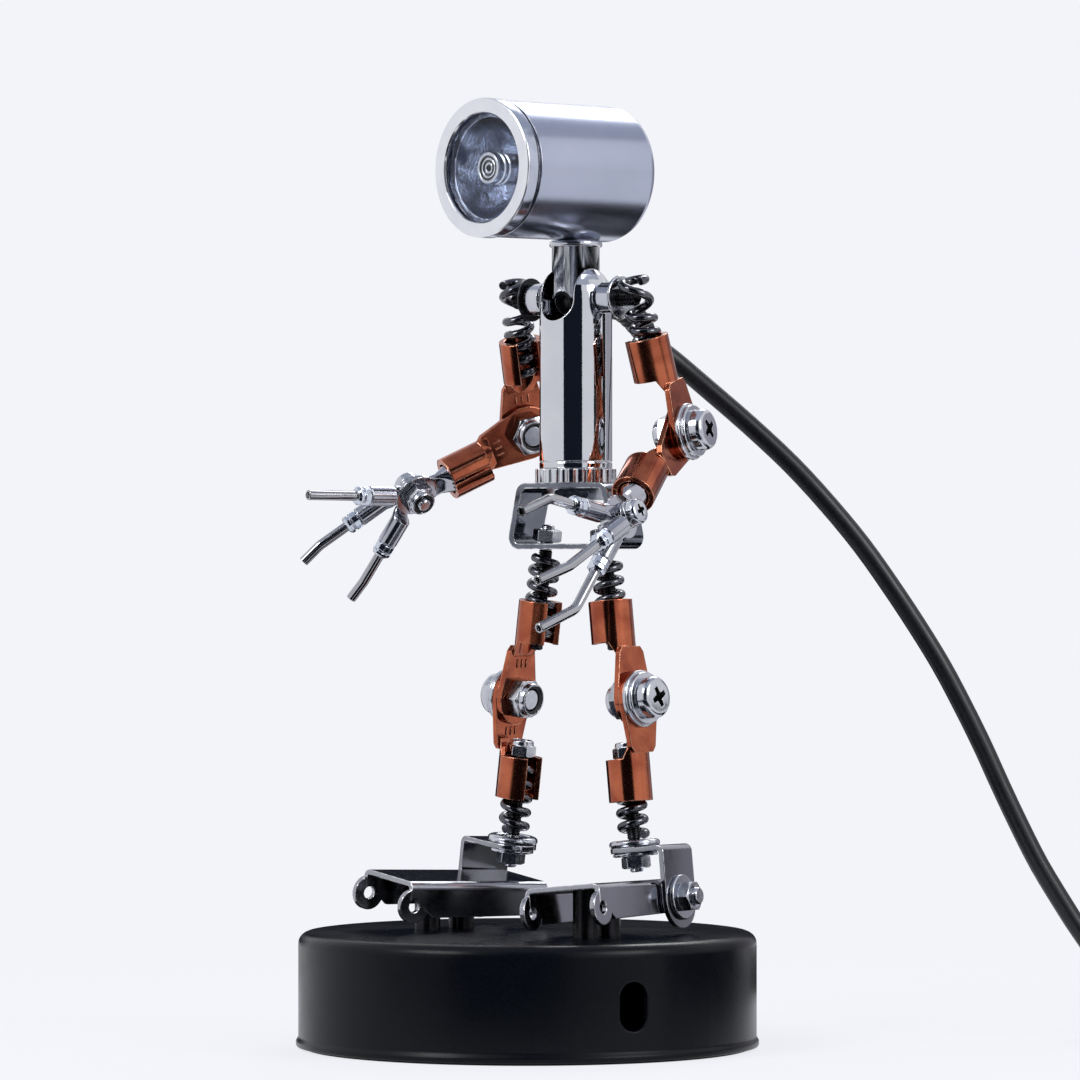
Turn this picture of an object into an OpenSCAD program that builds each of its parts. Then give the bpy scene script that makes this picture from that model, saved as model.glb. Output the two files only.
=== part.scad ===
// Desk lamp in the shape of a small robot, built from cable lugs, springs and turned parts.
// Z is up, the robot faces -Y and its left side is +X. The origin is the centre of the underside.

/* [Base] */
// Outside diameter of the cup at its lip
base_d = 100; // [92:1:120]
// Height of the cup's top face above the desk
base_h = 25; // [22:0.5:30]
// Sheet thickness of the cup
base_t = 1.2; // [0.8:0.1:1.6]
// Radius of the cup's top edge
base_edge_r = 2.5; // [1.6:0.1:3.2]
// How far the lip stands out of the cup's side
lip_out = 0.5; // [0.3:0.1:0.8]
// Width of the oval side slots
slot_w = 6.5; // [5:0.5:8]
// Height of the oval side slots
slot_h = 10.5; // [9:0.5:12]
// Thickness of the steel weight
weight_t = 5; // [3:0.5:5]
// Thickness of the foam pad
pad_t = 1.5; // [1:0.25:1.5]

/* [Stance] */
// Sideways place of the robot on the base
robot_x = 4; // [0:0.5:6]
// Place of the robot behind the middle of the base
robot_y = 11.7; // [8:0.1:13]
// Sideways distance from the robot's middle to its right ankle
right_ankle_x = 17.8; // [16.5:0.1:18.5]
// Sideways distance from the robot's middle to its left ankle
left_ankle_x = 16.3; // [16:0.1:18.5]
// Half the distance between the hips
hip_x = 9.56; // [9.2:0.05:10]
// Height of the ankle brackets' top above the base's top face
ankle_rise = 18.3; // [17.9:0.1:20]
// Turn of the robot's right foot, outwards
right_toe = 15; // [8:1:16]
// Turn of the robot's left foot, outwards
left_toe = 8; // [6:1:16]

/* [Feet] */
// Outside width of the foot channel
foot_w = 18.4; // [17.6:0.1:19.4]
// Distance from the ankle to the front edge of the foot
foot_front = 32; // [28:0.5:34]
// Distance from the ankle to the rear edge of the foot
foot_back = 4; // [4:0.5:5.5]
// Sheet thickness of feet and brackets
sheet_t = 1.1; // [0.9:0.1:1.3]
// Depth of the foot's side flanges
flange_h = 8.4; // [8:0.1:8.8]
// Radius of the rounded ears at the toes
ear_r = 3.7; // [3.4:0.1:3.9]
// Diameter of the holes in the ears
ear_hole_d = 2.8; // [2.4:0.1:3.2]
// Gap between the foot's top and the bracket's top
bracket_gap = 7.3; // [6.8:0.1:7.5]
// Length of the ankle bracket along the foot
bracket_l = 12.5; // [11:0.5:13]
// Length of the bracket's outer leg
bracket_outer = 18.2; // [17:0.1:18.6]
// Length of the bracket's inner leg
bracket_inner = 16.2; // [15.5:0.1:16.4]

/* [Lugs] */
// Outside diameter of a lug's barrel
lug_d = 9.5; // [9.2:0.1:9.8]
// Sheet thickness of a lug
lug_t = 1.2; // [1:0.05:1.2]
// Length of a lug's barrel
lug_barrel = 9.2; // [8.6:0.1:9.8]
// Distance from the barrel's mouth to the hole
lug_reach = 21.8; // [21:0.1:22.4]
// Diameter of the lug's ring
lug_ring_d = 12; // [11:0.25:12.5]
// Width of the lug's tongue at the barrel
lug_neck_w = 8.2; // [7.4:0.1:8.8]
// Half the opening angle of the barrel's seam
lug_seam = 31; // [24:1:36]

/* [Springs] */
// Wire of the springs
wire_d = 1.5; // [1.3:0.05:1.5]
// Coil pitch of the springs
spring_pitch = 3.3; // [3:0.1:3.8]
// Free length of the ankle springs below the shin lugs
ankle_gap = 9.9; // [9:0.1:11]

/* [Body] */
// Outside width of the pelvis at its top
pelvis_top = 24.5; // [23:0.5:26]
// Outside width of the pelvis at its bottom
pelvis_bottom = 30.8; // [30:0.2:32]
// Height of the pelvis frame
pelvis_h = 14.4; // [14:0.1:15.5]
// Depth of the pelvis frame
pelvis_l = 10; // [9:0.5:11]
// Sheet thickness of the pelvis frame
pelvis_t = 1.2; // [1:0.1:1.4]
// Height of the pelvis frame's underside above the base's top face
hip_rise = 82.5; // [81:0.5:84]
// Diameter of the knurled waist ring
ring_d = 17.6; // [16.8:0.1:18.4]
// Height of the knurled waist ring
ring_h = 3; // [2.6:0.1:3.6]
// Number of teeth on the knurled waist ring
ring_teeth = 28; // [20:1:32]
// Diameter of the torso tube
torso_d = 15.8; // [15.2:0.1:16.4]
// Height from the torso's foot to the shoulder axle
torso_rise = 37; // [35:0.5:40]
// Width of the slot through the dome
dome_slot = 9; // [8.6:0.1:9.2]

/* [Head] */
// Diameter of the head's shell
head_d = 29.5; // [27:0.5:31]
// Distance from the neck to the front face
head_front = 27.7; // [26:0.5:30]
// Distance from the neck to the rear face
head_back = 10.3; // [9:0.5:13]
// Wall of the head's shell
head_t = 1.6; // [1.2:0.1:1.8]
// Diameter of the bezel
bezel_d = 30; // [29.6:0.2:32]
// Length of the bezel
bezel_l = 3.7; // [3:0.1:4.4]
// Diameter of the bezel's opening
bezel_hole_d = 23.5; // [22:0.5:24]
// Turn of the head towards the robot's right
head_turn = 8.4; // [0:0.2:20]
// Height from the shoulder axle to the top of the neck's collar
neck_rise = 12.5; // [12:0.1:15]
// Diameter of the neck bar
neck_d = 10.4; // [9.8:0.1:10.4]
// Diameter of the neck's collar
collar_d = 11.5; // [11:0.1:13]

/* [Arms] */
// Half the distance between the arms' springs
shoulder_x = 16.9; // [16.9:0.1:17.6]
// Free length of the shoulder springs above the upper arm lugs
shoulder_gap = 9; // [8.6:0.1:10]
// Forward swing of the left arm
left_swing = 15; // [5:1:25]
// Outward splay of the left arm
left_splay = 4.5; // [3:0.5:9]
// Turn of the left arm about its own length
left_turn = 12; // [5:1:16]
// Bend of the left elbow
left_elbow = 67; // [60:1:75]
// Twist of the left hand
left_twist = -12; // [-40:1:20]
// Forward swing of the right arm
right_swing = 17; // [5:1:25]
// Outward splay of the right arm
right_splay = 5; // [0:0.5:6]
// Turn of the right arm about its own length
right_turn = 31; // [25:1:40]
// Bend of the right elbow
right_elbow = 76; // [68:1:80]
// Twist of the right hand
right_twist = -24; // [-40:1:20]

/* [Hands] */
// Diameter of the palm's ring
palm_d = 9.8; // [9:0.1:10.4]
// Distance from the forearm's barrel to the wrist bolt
palm_reach = 8; // [7.5:0.1:9]
// Diameter of the fingers' barrels and ferrules
finger_d = 4.3; // [4:0.05:4.4]
// Distance from the wrist bolt to the bend of a finger
finger_bend = 23.5; // [21:0.5:25]
// Diameter of the finger tubes
finger_tube_d = 2.2; // [2:0.1:2.4]
// Directions of the left fingers from the forearm's line
left_fan = [-55, -20, 3]; // [-60:1:60]
// Bends of the left finger tips
left_curl = [-4, -20, -25]; // [-30:1:30]
// Lengths of the left finger tips
left_tip = [7, 8.5, 9]; // [4:0.5:10]
// Directions of the right fingers from the forearm's line
right_fan = [-31, 18, 46]; // [-60:1:60]
// Bends of the right finger tips
right_curl = [-18, 25, -12]; // [-30:1:30]
// Lengths of the right finger tips
right_tip = [5, 5, 5]; // [4:0.5:10]

/* [Cord] */
// Diameter of the cord
cord_d = 4.4; // [4.4:0.1:4.4]
// Diameter of the coil at the middle of its turns
coil_d = 50; // [50:1:50]
// Turns that lie beside each other in the coil
coil_wide = 4; // [4:1:4]
// Layers of turns in the coil
coil_high = 2; // [2:1:2]

/* [Hidden] */
$fn = 48;

// Clearances
run = 0.06;          // radial gap of a pin that turns
flat_gap = 0.06;     // gap between flat faces that turn on each other
loose = 0.15;        // gap between parts that are clamped or pushed together
seat = 0.03;         // gap between stacked fasteners
past = 1;            // how far a cut runs past the face it opens

// Fasteners: shank, nut width over flats, nut height, washer diameter, washer height
m3_d = 3;
m3_af = 5.5;
m3_h = 2.6;
m4_d = 3.9;
m4_af = 7;
m4_h = 3.2;
m5_d = 5;
m5_af = 8;
m5_h = 4.4;
m5_washer_d = 12.4;
m5_washer_t = 1;
m5_head_d = 9;
m5_head_h = 3.2;

// Heights
cup_top = base_h;
ankle_z = cup_top + ankle_rise;
hip_z = cup_top + hip_rise;
pelvis_z = hip_z + pelvis_h;
torso_z = pelvis_z + ring_h;
axle_z = torso_z + torso_rise;
collar_z = axle_z + neck_rise;
head_z = collar_z + flat_gap + head_d / 2;

// Legs, measured along their own axis from the top of the ankle bracket
function ankle_x(s) = s < 0 ? right_ankle_x : left_ankle_x;
function leg_tilt(s) = atan((ankle_x(s) - hip_x) / (hip_z - ankle_z));
function leg_l(s) = norm([ankle_x(s) - hip_x, hip_z - ankle_z]);
knee_at = ankle_gap + lug_reach;
thigh_at = knee_at + lug_reach;
spring_d = lug_d - 2 * lug_t - 0.1;
foot_top = -bracket_gap;
foot_bottom = foot_top - flange_h;
cross_at = foot_top - flange_h / 2;

// ---------- helpers ----------

function unit(v) = v / norm(v);

// Closed outline with every corner rounded by r
function rounded(pts, r, steps = 5) = [
    for (i = [0:len(pts) - 1])
        let (
            p = pts[i],
            u = unit(pts[(i + len(pts) - 1) % len(pts)] - p),
            v = unit(pts[(i + 1) % len(pts)] - p),
            half = acos(u * v) / 2,
            c = p + unit(u + v) * r / sin(half),
            a = p + u * r / tan(half) - c,
            b = p + v * r / tan(half) - c,
            a0 = atan2(a[1], a[0]),
            turn = atan2(a[0] * b[1] - a[1] * b[0], a * b)
        )
        for (k = [0:steps]) c + r * [cos(a0 + turn * k / steps), sin(a0 + turn * k / steps)]
];

// Tube through rings, each a centre, a direction and a radius; no direction is parallel to up
module ring_tube(frames, sides, up) {
    n = len(frames);
    rings = [
        for (f = frames)
            let (s = unit(cross(f[1], up)), w = cross(s, f[1]))
            for (k = [0:sides - 1]) f[0] + f[2] * (cos(360 * k / sides) * s + sin(360 * k / sides) * w)
    ];
    walls = [
        for (i = [0:n - 2], k = [0:sides - 1], half = [0, 1])
            let (a = i * sides + k, b = i * sides + (k + 1) % sides)
            half == 0 ? [a, b, b + sides] : [a, b + sides, a + sides]
    ];
    polyhedron(rings, concat(walls, [
        [for (k = [sides - 1:-1:0]) k],
        [for (k = [0:sides - 1]) (n - 1) * sides + k]
    ]));
}

// Tube along a list of points that never runs straight up, its radius one number or one per point
module tube_along(pts, r, sides = 6) {
    n = len(pts);
    ring_tube([
        for (i = [0:n - 1])
            [pts[i], unit(pts[min(i + 1, n - 1)] - pts[max(i - 1, 0)]), is_list(r) ? r[i] : r]
    ], sides, [0, 0, 1]);
}

// Helical spring between two heights
module spring(z0, z1, d = spring_d, steps = 14) {
    turns = (z1 - z0 - wire_d) / spring_pitch;
    count = ceil(turns * steps);
    r = (d - wire_d) / 2;
    tube_along([
        for (i = [0:count])
            let (f = i / count)
            [r * cos(360 * turns * f), r * sin(360 * turns * f), z0 + wire_d / 2 + (z1 - z0 - wire_d) * f]
    ], wire_d / 2);
}

module hex_nut(af, h, bore) {
    corner = af / cos(30) / 2;
    chamfer = (corner - af / 2) / 2;
    difference() {
        intersection() {
            cylinder(r = corner, h = h, $fn = 6);
            rotate_extrude()
                polygon([
                    [0, 0], [corner - chamfer, 0], [corner, chamfer],
                    [corner, h - chamfer], [corner - chamfer, h], [0, h]
                ]);
        }
        translate([0, 0, -past]) cylinder(d = bore, h = h + 2 * past);
    }
}

// Hex nut with a round locking collar
module lock_nut(af, h, bore) {
    hex_h = h * 0.68;
    collar_r = af * 0.44;
    hex_nut(af, hex_h, bore);
    rotate_extrude()
        polygon([
            [bore / 2, hex_h - 0.2], [collar_r, hex_h - 0.2],
            [collar_r, h - 0.4], [collar_r - 0.4, h], [bore / 2, h]
        ]);
}

module washer(d, t, bore) {
    difference() {
        cylinder(d = d, h = t);
        translate([0, 0, -past]) cylinder(d = bore, h = t + 2 * past);
    }
}

// Pan head that sits on z = 0 and rises to h
module pan_head(d, h) {
    crown = h * 0.45;
    rotate_extrude()
        polygon(concat(
            [[0, 0], [d / 2, 0], [d / 2, h - crown]],
            [for (a = [15:15:90]) [d / 2 - crown * (1 - cos(a)), h - crown + crown * sin(a)]],
            [[0, h]]
        ));
}

// Oval hole along +X, centred on the origin
module oval(w, h, l) {
    rotate([0, 90, 0]) {
        for (s = [-1, 1]) translate([s * (h - w) / 2, 0, 0]) cylinder(d = w, h = l);
        translate([-(h - w) / 2, -w / 2, 0]) cube([h - w, w, l]);
    }
}

// ---------- frames ----------

module at_robot() translate([robot_x, robot_y, 0]) children();

// Mirrors the children for the robot's right side
module side(s) mirror([s < 0 ? 1 : 0, 0, 0]) children();

// Leg frame of one side: +X is outwards, +Z runs up the leg, origin on the ankle bracket
module leg(s)
    at_robot() side(s) translate([ankle_x(s), 0, ankle_z]) rotate([0, -leg_tilt(s), 0]) children();

// Foot frame: the leg frame turned so that -Y points to the toe
module foot(s) leg(s) rotate([0, 0, s < 0 ? right_toe : left_toe]) children();

// ---------- base ----------

slot_z = base_h - 13;
slot_angle = 65.8;
cup_r = base_d / 2 - lip_out;
rim_z = pad_t / 3;
weight_z = pad_t;

// Outline of the cup, outer or inner, for a revolve
function cup_outline(r, top, edge) = concat(
    [[0, top]],
    [for (a = [90:-15:0]) [r - edge + edge * cos(a), top - edge + edge * sin(a)]]
);

module base_shell() color("#17181b")
    difference() {
        union() {
            rotate_extrude($fn = 96)
                difference() {
                    polygon(concat(cup_outline(cup_r, cup_top, base_edge_r), [[cup_r, rim_z], [0, rim_z]]));
                    polygon(concat(
                        cup_outline(cup_r - base_t, cup_top - base_t, base_edge_r - base_t),
                        [[cup_r - base_t, rim_z - past], [0, rim_z - past]]
                    ));
                }
            rotate_extrude($fn = 96)
                polygon([
                    [cup_r - base_t, rim_z], [base_d / 2 - 0.2, rim_z], [base_d / 2, rim_z + 0.3],
                    [base_d / 2, rim_z + 1.1], [cup_r, rim_z + 2], [cup_r - base_t, rim_z + 2]
                ]);
        }
        for (a = [0, 180])
            rotate([0, 0, slot_angle - 90 + a])
                translate([cup_r - 4 * base_t, 0, slot_z]) oval(slot_w, slot_h, 6 * base_t);
        for (s = [-1, 1], y = stud_ys)
            stud_at(s, y) translate([0, 0, cup_top - base_t - past]) cylinder(d = m3_d + 2 * loose, h = base_t + 2 * past);
    }

module base_weight() color("#55585c")
    translate([0, 0, weight_z]) cylinder(r = cup_r - base_t - loose, h = weight_t, $fn = 96);

module base_pad() color("#2b2b2d")
    cylinder(r = cup_r - base_t - loose, h = pad_t, $fn = 96);

// ---------- feet ----------

stud_ys = [-22, -13];
stud_drop = 6;

// Upright axis under the foot at a distance along it
module stud_at(s, y)
    at_robot() side(s) translate([ankle_x(s), 0, 0]) rotate([0, 0, s < 0 ? right_toe : left_toe])
        translate([foot_top * sin(-leg_tilt(s)), y, 0]) children();

// Everything below the underside of the foot's plate
module under_foot(s)
    foot(s) translate([-20, -45, foot_top - sheet_t - 30 - seat]) cube([40, 60, 30]);

module foot_fasteners() color("silver") for (s = [-1, 1], y = stud_ys) {
    intersection() {
        stud_at(s, y) translate([0, 0, cup_top - base_t - stud_drop]) cylinder(d = m3_d, h = stud_drop + 20);
        under_foot(s);
    }
    stud_at(s, y) translate([0, 0, cup_top - base_t - seat - m3_h]) hex_nut(m3_af, m3_h, m3_d + 2 * run);
}

module foot_spacers() color("silver") for (s = [-1, 1], y = stud_ys)
    intersection() {
        stud_at(s, y) translate([0, 0, cup_top]) difference() {
            cylinder(d = 5.6, h = 20);
            translate([0, 0, -past]) cylinder(d = m3_d + 2 * loose, h = 22);
        }
        under_foot(s);
    }

// Channel section, open below: outer width, top, depth
module channel(w, top, depth, t, y0, y1)
    translate([0, y1, 0]) rotate([90, 0, 0]) linear_extrude(y1 - y0)
        difference() {
            polygon(rounded([
                [-w / 2, top], [w / 2, top], [w / 2, top - depth - 3 * t], [-w / 2, top - depth - 3 * t]
            ], 1.5 * t));
            polygon(rounded([
                [-w / 2 + t, top - t], [w / 2 - t, top - t],
                [w / 2 - t, top - depth - 9 * t], [-w / 2 + t, top - depth - 9 * t]
            ], 0.5 * t));
            translate([-w, top - depth - 20]) square([2 * w, 20]);
        }

// Side outline that trims a channel, pushed across its width
module across(w) rotate([90, 0, 90]) translate([0, 0, -w / 2]) linear_extrude(w) children();

module one_foot() {
    ear_y = -foot_front + 1;
    ear_z = foot_bottom + ear_r - 0.5;
    difference() {
        intersection() {
            channel(foot_w, foot_top, flange_h + 1, sheet_t, -foot_front - ear_r, foot_back);
            across(foot_w + 2 * past) union() {
                polygon([
                    [-foot_front, foot_top + past], [foot_back, foot_top + past],
                    [foot_back, foot_bottom + 1.2], [-foot_front + 6, foot_bottom + 0.6],
                    [-foot_front + 3, ear_z], [-foot_front, ear_z]
                ]);
                translate([ear_y, ear_z]) circle(r = ear_r);
            }
        }
        translate([-foot_w, ear_y, ear_z]) rotate([0, 90, 0]) cylinder(d = ear_hole_d, h = 2 * foot_w);
        translate([-foot_w, 0, cross_at]) rotate([0, 90, 0]) cylinder(d = m4_d + 2 * loose, h = 2 * foot_w);
    }
}

module right_foot() color("#4a4c50") foot(-1) one_foot();
module left_foot() color("#4a4c50") foot(1) one_foot();

bracket_w = foot_w + 2 * loose + 2 * sheet_t;

module one_bracket() {
    difference() {
        for (s = [-1, 1]) {
            leg_h = s < 0 ? bracket_inner : bracket_outer;
            intersection() {
                channel(bracket_w, 0, bracket_outer, sheet_t, -bracket_l / 2, bracket_l / 2);
                translate([s < 0 ? -bracket_w : 0, -bracket_l, -30]) cube([bracket_w, 2 * bracket_l, 40]);
                across(bracket_w + 2 * past) union() {
                    translate([-bracket_l / 2, -leg_h + bracket_l / 2])
                        square([bracket_l, leg_h - bracket_l / 2 + past]);
                    translate([0, -leg_h + bracket_l / 2]) circle(d = bracket_l);
                }
            }
        }
        translate([-bracket_w, 0, cross_at]) rotate([0, 90, 0]) cylinder(d = m4_d + 2 * loose, h = 2 * bracket_w);
        translate([0, 0, -2 * sheet_t]) cylinder(d = m3_d + 2 * loose, h = 4 * sheet_t);
    }
}

module right_ankle_bracket() color("#3c3e42") foot(-1) one_bracket();
module left_ankle_bracket() color("#3c3e42") foot(1) one_bracket();

seat_washer_d = 11;
seat_washer_t = 1;
cross_washer_d = 9.8;

module ankle_fasteners() color("silver") for (s = [-1, 1]) foot(s) {
    translate([-bracket_w / 2 - m4_h - 2 * seat, 0, cross_at]) rotate([0, 90, 0]) {
        cylinder(d = m4_d, h = bracket_w + 2 * m4_h + 1.5);
        hex_nut(m4_af, m4_h, m4_d - 0.2);
    }
    translate([bracket_w / 2 + seat, 0, cross_at]) rotate([0, 90, 0]) {
        washer(cross_washer_d, 0.8, m4_d + 2 * loose);
        translate([0, 0, 0.8 + seat]) hex_nut(m4_af - 1, m4_h - 0.6, m4_d + 2 * run);
    }
    washer(seat_washer_d, seat_washer_t, m3_d + 2 * loose);
}

module ankle_springs() color("#303338") for (s = [-1, 1])
    leg(s) spring(seat_washer_t + seat, ankle_gap + lug_barrel - seat);

module ankle_rods() color("silver") for (s = [-1, 1]) leg(s) {
    top = ankle_gap + lug_barrel + seat;
    translate([0, 0, -4.6]) cylinder(d = m3_d, h = top + m3_h + 5.6);
    translate([0, 0, top]) lock_nut(m3_af, m3_h + 1, m3_d + 2 * run);
    translate([0, 0, -sheet_t - seat - m3_h]) hex_nut(m3_af, m3_h, m3_d + 2 * run);
}

// ---------- lugs ----------

// Open barrel lug: mouth at z = 0, barrel up to lug_barrel, tongue on the +X side, hole at lug_reach
module lug(hole_d) {
    r = lug_d / 2;
    ri = r - lug_t;
    shoulder = 3.4;
    ring_r = lug_ring_d / 2;
    // tangent from the neck's corner to the ring
    rise = lug_reach - lug_barrel - shoulder / 2;
    lean = atan((lug_neck_w / 2) / rise);
    touch = lean + acos(ring_r / norm([lug_neck_w / 2, rise]));
    difference() {
        union() {
            difference() {
                cylinder(r = r, h = lug_barrel + shoulder);
                translate([0, 0, -past]) cylinder(r = ri, h = lug_barrel + shoulder + 2 * past);
                translate([0, 0, -past]) linear_extrude(lug_barrel + shoulder + 2 * past)
                    polygon([[0, 0], 2 * r * [-cos(lug_seam), sin(lug_seam)], 2 * r * [-cos(lug_seam), -sin(lug_seam)]]);
                // the shoulder slopes from the barrel's end up to the tongue
                translate([0, r + past, 0]) rotate([90, 0, 0]) linear_extrude(2 * (r + past))
                    polygon([
                        [-r - past, lug_barrel], [r * 0.42, lug_barrel], [ri, lug_barrel + shoulder],
                        [ri, lug_barrel + 2 * shoulder], [-r - past, lug_barrel + 2 * shoulder]
                    ]);
            }
            translate([ri, 0, 0]) rotate([90, 0, 90]) linear_extrude(lug_t) {
                translate([0, lug_reach]) circle(r = ring_r);
                polygon([
                    [-lug_neck_w / 2 + 1, lug_barrel + shoulder / 2 - 0.6], [lug_neck_w / 2 - 1, lug_barrel + shoulder / 2 - 0.6],
                    [lug_neck_w / 2, lug_barrel + shoulder / 2 + 0.6],
                    [ring_r * sin(touch), lug_reach - ring_r * cos(touch)],
                    [-ring_r * sin(touch), lug_reach - ring_r * cos(touch)],
                    [-lug_neck_w / 2, lug_barrel + shoulder / 2 + 0.6]
                ]);
            }
        }
        translate([0, 0, lug_reach]) rotate([0, 90, 0]) cylinder(d = hole_d, h = 2 * r);
    }
}

fixed_hole = m5_d + 2 * loose;
turning_hole = m5_d + 2 * run;

// The shin's tongue lies outside the thigh's
module right_shin_lug() color("#b5653a") leg(-1) translate([0, 0, ankle_gap]) lug(fixed_hole);
module left_shin_lug() color("#b5653a") leg(1) translate([0, 0, ankle_gap]) lug(fixed_hole);
module one_thigh(s)
    leg(s) translate([-lug_t - seat, 0, thigh_at]) mirror([0, 0, 1]) lug(fixed_hole);
module right_thigh_lug() color("#b5653a") one_thigh(-1);
module left_thigh_lug() color("#b5653a") one_thigh(1);

// Bolt with head, two washers and nut: x = 0 is the outer face of the outer tongue, +X is outwards
module joint_stack(grip) {
    head_x = 2 * m5_washer_t + 3 * seat;
    nut_x = -grip - seat;
    rotate([0, 90, 0]) {
        translate([0, 0, seat]) washer(m5_washer_d, m5_washer_t, m5_d + 2 * loose);
        translate([0, 0, 2 * seat + m5_washer_t]) washer(m5_washer_d - 1, m5_washer_t, m5_d + 2 * loose);
        translate([0, 0, head_x]) pan_head(m5_head_d, m5_head_h);
        translate([0, 0, nut_x - m5_h - 0.6]) cylinder(d = m5_d, h = head_x - nut_x + m5_h + 0.7);
        translate([0, 0, nut_x]) mirror([0, 0, 1]) lock_nut(m5_af, m5_h, m5_d + 2 * run);
    }
}

module knee_fasteners() color("silver") for (s = [-1, 1])
    leg(s) translate([lug_d / 2, 0, knee_at]) joint_stack(2 * lug_t + seat);

// ---------- hips and waist ----------

thigh_shift = -lug_t - seat;

module hip_springs() color("#303338") for (s = [-1, 1])
    leg(s) translate([thigh_shift, 0, 0]) spring(thigh_at - lug_barrel + seat, leg_l(s) - 0.75);

module hip_screws() color("silver") for (s = [-1, 1]) leg(s) translate([thigh_shift, 0, 0]) {
    seat_z = leg_l(s) + pelvis_t + 0.7;
    translate([0, 0, thigh_at - lug_barrel - 1.5]) cylinder(d = m4_d, h = seat_z + m4_h + 1 - thigh_at + lug_barrel + 1.5);
    translate([0, 0, seat_z]) hex_nut(m4_af, m4_h, m4_d + 2 * run);
}

waist_bolt_d = 8;
waist_nut_af = 13;
waist_nut_h = 2.5;

module pelvis_frame() color("#c9ccd1")
    difference() {
        at_robot() translate([0, pelvis_l / 2, hip_z]) rotate([90, 0, 0]) linear_extrude(pelvis_l)
            difference() {
                polygon(rounded([
                    [-pelvis_bottom / 2, 0], [pelvis_bottom / 2, 0], [pelvis_top / 2, pelvis_h], [-pelvis_top / 2, pelvis_h]
                ], 2.6));
                polygon(rounded([
                    [-pelvis_bottom / 2 + 1.35 * pelvis_t, pelvis_t], [pelvis_bottom / 2 - 1.35 * pelvis_t, pelvis_t],
                    [pelvis_top / 2 - 1.1 * pelvis_t, pelvis_h - pelvis_t], [-pelvis_top / 2 + 1.1 * pelvis_t, pelvis_h - pelvis_t]
                ], 2.6 - pelvis_t));
            }
        for (s = [-1, 1])
            leg(s) translate([thigh_shift, 0, leg_l(s) - 3]) cylinder(d = m4_d + 4 * loose, h = 7);
        at_robot() translate([0, 0, pelvis_z - 2 * pelvis_t]) cylinder(d = waist_bolt_d + 2 * loose, h = 4 * pelvis_t);
    }

module waist_nut() color("silver")
    at_robot() translate([0, 0, pelvis_z - pelvis_t - seat - waist_nut_h])
        rotate([0, 0, 30]) hex_nut(waist_nut_af, waist_nut_h, waist_bolt_d + 2 * run);

module waist_ring() color("#d5d8dc")
    at_robot() translate([0, 0, pelvis_z]) difference() {
        linear_extrude(ring_h) difference() {
            circle(d = ring_d);
            for (k = [1:ring_teeth])
                rotate(360 * k / ring_teeth) translate([ring_d / 2 + 0.15, 0]) circle(d = ring_d * 1.5 / ring_teeth, $fn = 6);
        }
        translate([0, 0, -past]) cylinder(d = waist_bolt_d + 2 * loose, h = ring_h + 2 * past);
    }

// ---------- torso ----------

torso_r = torso_d / 2;
slot_floor = axle_z - dome_slot / 2 - 0.5;

module torso_tube() color("#c9ccd1")
    at_robot() difference() {
        union() {
            rotate_extrude($fn = 72)
                polygon(concat(
                    [[0, torso_z], [torso_r - 0.2, torso_z], [torso_r, torso_z + 0.2],
                     [torso_r, torso_z + 1.3], [torso_r - 0.25, torso_z + 1.5], [torso_r, torso_z + 1.7]],
                    [for (a = [0:10:80]) [torso_r * cos(a), axle_z + torso_r * sin(a)]],
                    [[0, axle_z + torso_r]]
                ));
            translate([0, 0, pelvis_z - pelvis_t - waist_nut_h - 1.2])
                cylinder(d = waist_bolt_d, h = torso_z - pelvis_z + pelvis_t + waist_nut_h + 1.7);
        }
        // slot through the dome, front to back, with a round floor
        translate([0, torso_d, slot_floor + dome_slot / 2]) rotate([90, 0, 0]) cylinder(d = dome_slot, h = 2 * torso_d);
        translate([-dome_slot / 2, -torso_d, slot_floor + dome_slot / 2]) cube([dome_slot, 2 * torso_d, 20]);
        translate([-torso_d, 0, axle_z]) rotate([0, 90, 0]) cylinder(d = m4_d + 2 * seat, h = 2 * torso_d);
        // bore of the tube and the way of the wires
        translate([0, 0, torso_z + 4]) cylinder(d = torso_d - 3, h = slot_floor - torso_z - 8);
        translate([0, 0, pelvis_z - pelvis_h]) cylinder(d = 4, h = torso_rise + pelvis_h + ring_h - dome_slot / 2);
    }

axle_nut_x = torso_r + seat;
axle_nut_h = 4.2;
axle_washer_d = 9.5;
axle_washer_t = 0.6;
axle_end = shoulder_x;

module shoulder_axle() color("silver")
    at_robot() translate([-axle_end, 0, axle_z]) rotate([0, 90, 0]) cylinder(d = m4_d, h = 2 * axle_end);

module shoulder_nuts() color("silver") for (s = [-1, 1])
    at_robot() side(s) translate([axle_nut_x, 0, axle_z]) rotate([0, 90, 0]) {
        hex_nut(m4_af, axle_nut_h, m4_d + 2 * seat);
        translate([0, 0, axle_nut_h + seat]) washer(axle_washer_d, axle_washer_t, m4_d + 2 * seat);
    }

// ---------- neck and head ----------

neck_flat = dome_slot - 0.3;
spigot_d = 4;
spigot_h = 6;

// Half section of the neck's lower end, which turns in the slot's round floor
module knuckle() polygon(concat(
    [[0, -neck_flat / 2]],
    [for (a = [-80:10:80]) [0.35 + neck_flat / 2 * cos(a), neck_flat / 2 * sin(a)]],
    [[0, neck_flat / 2]]
));

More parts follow.
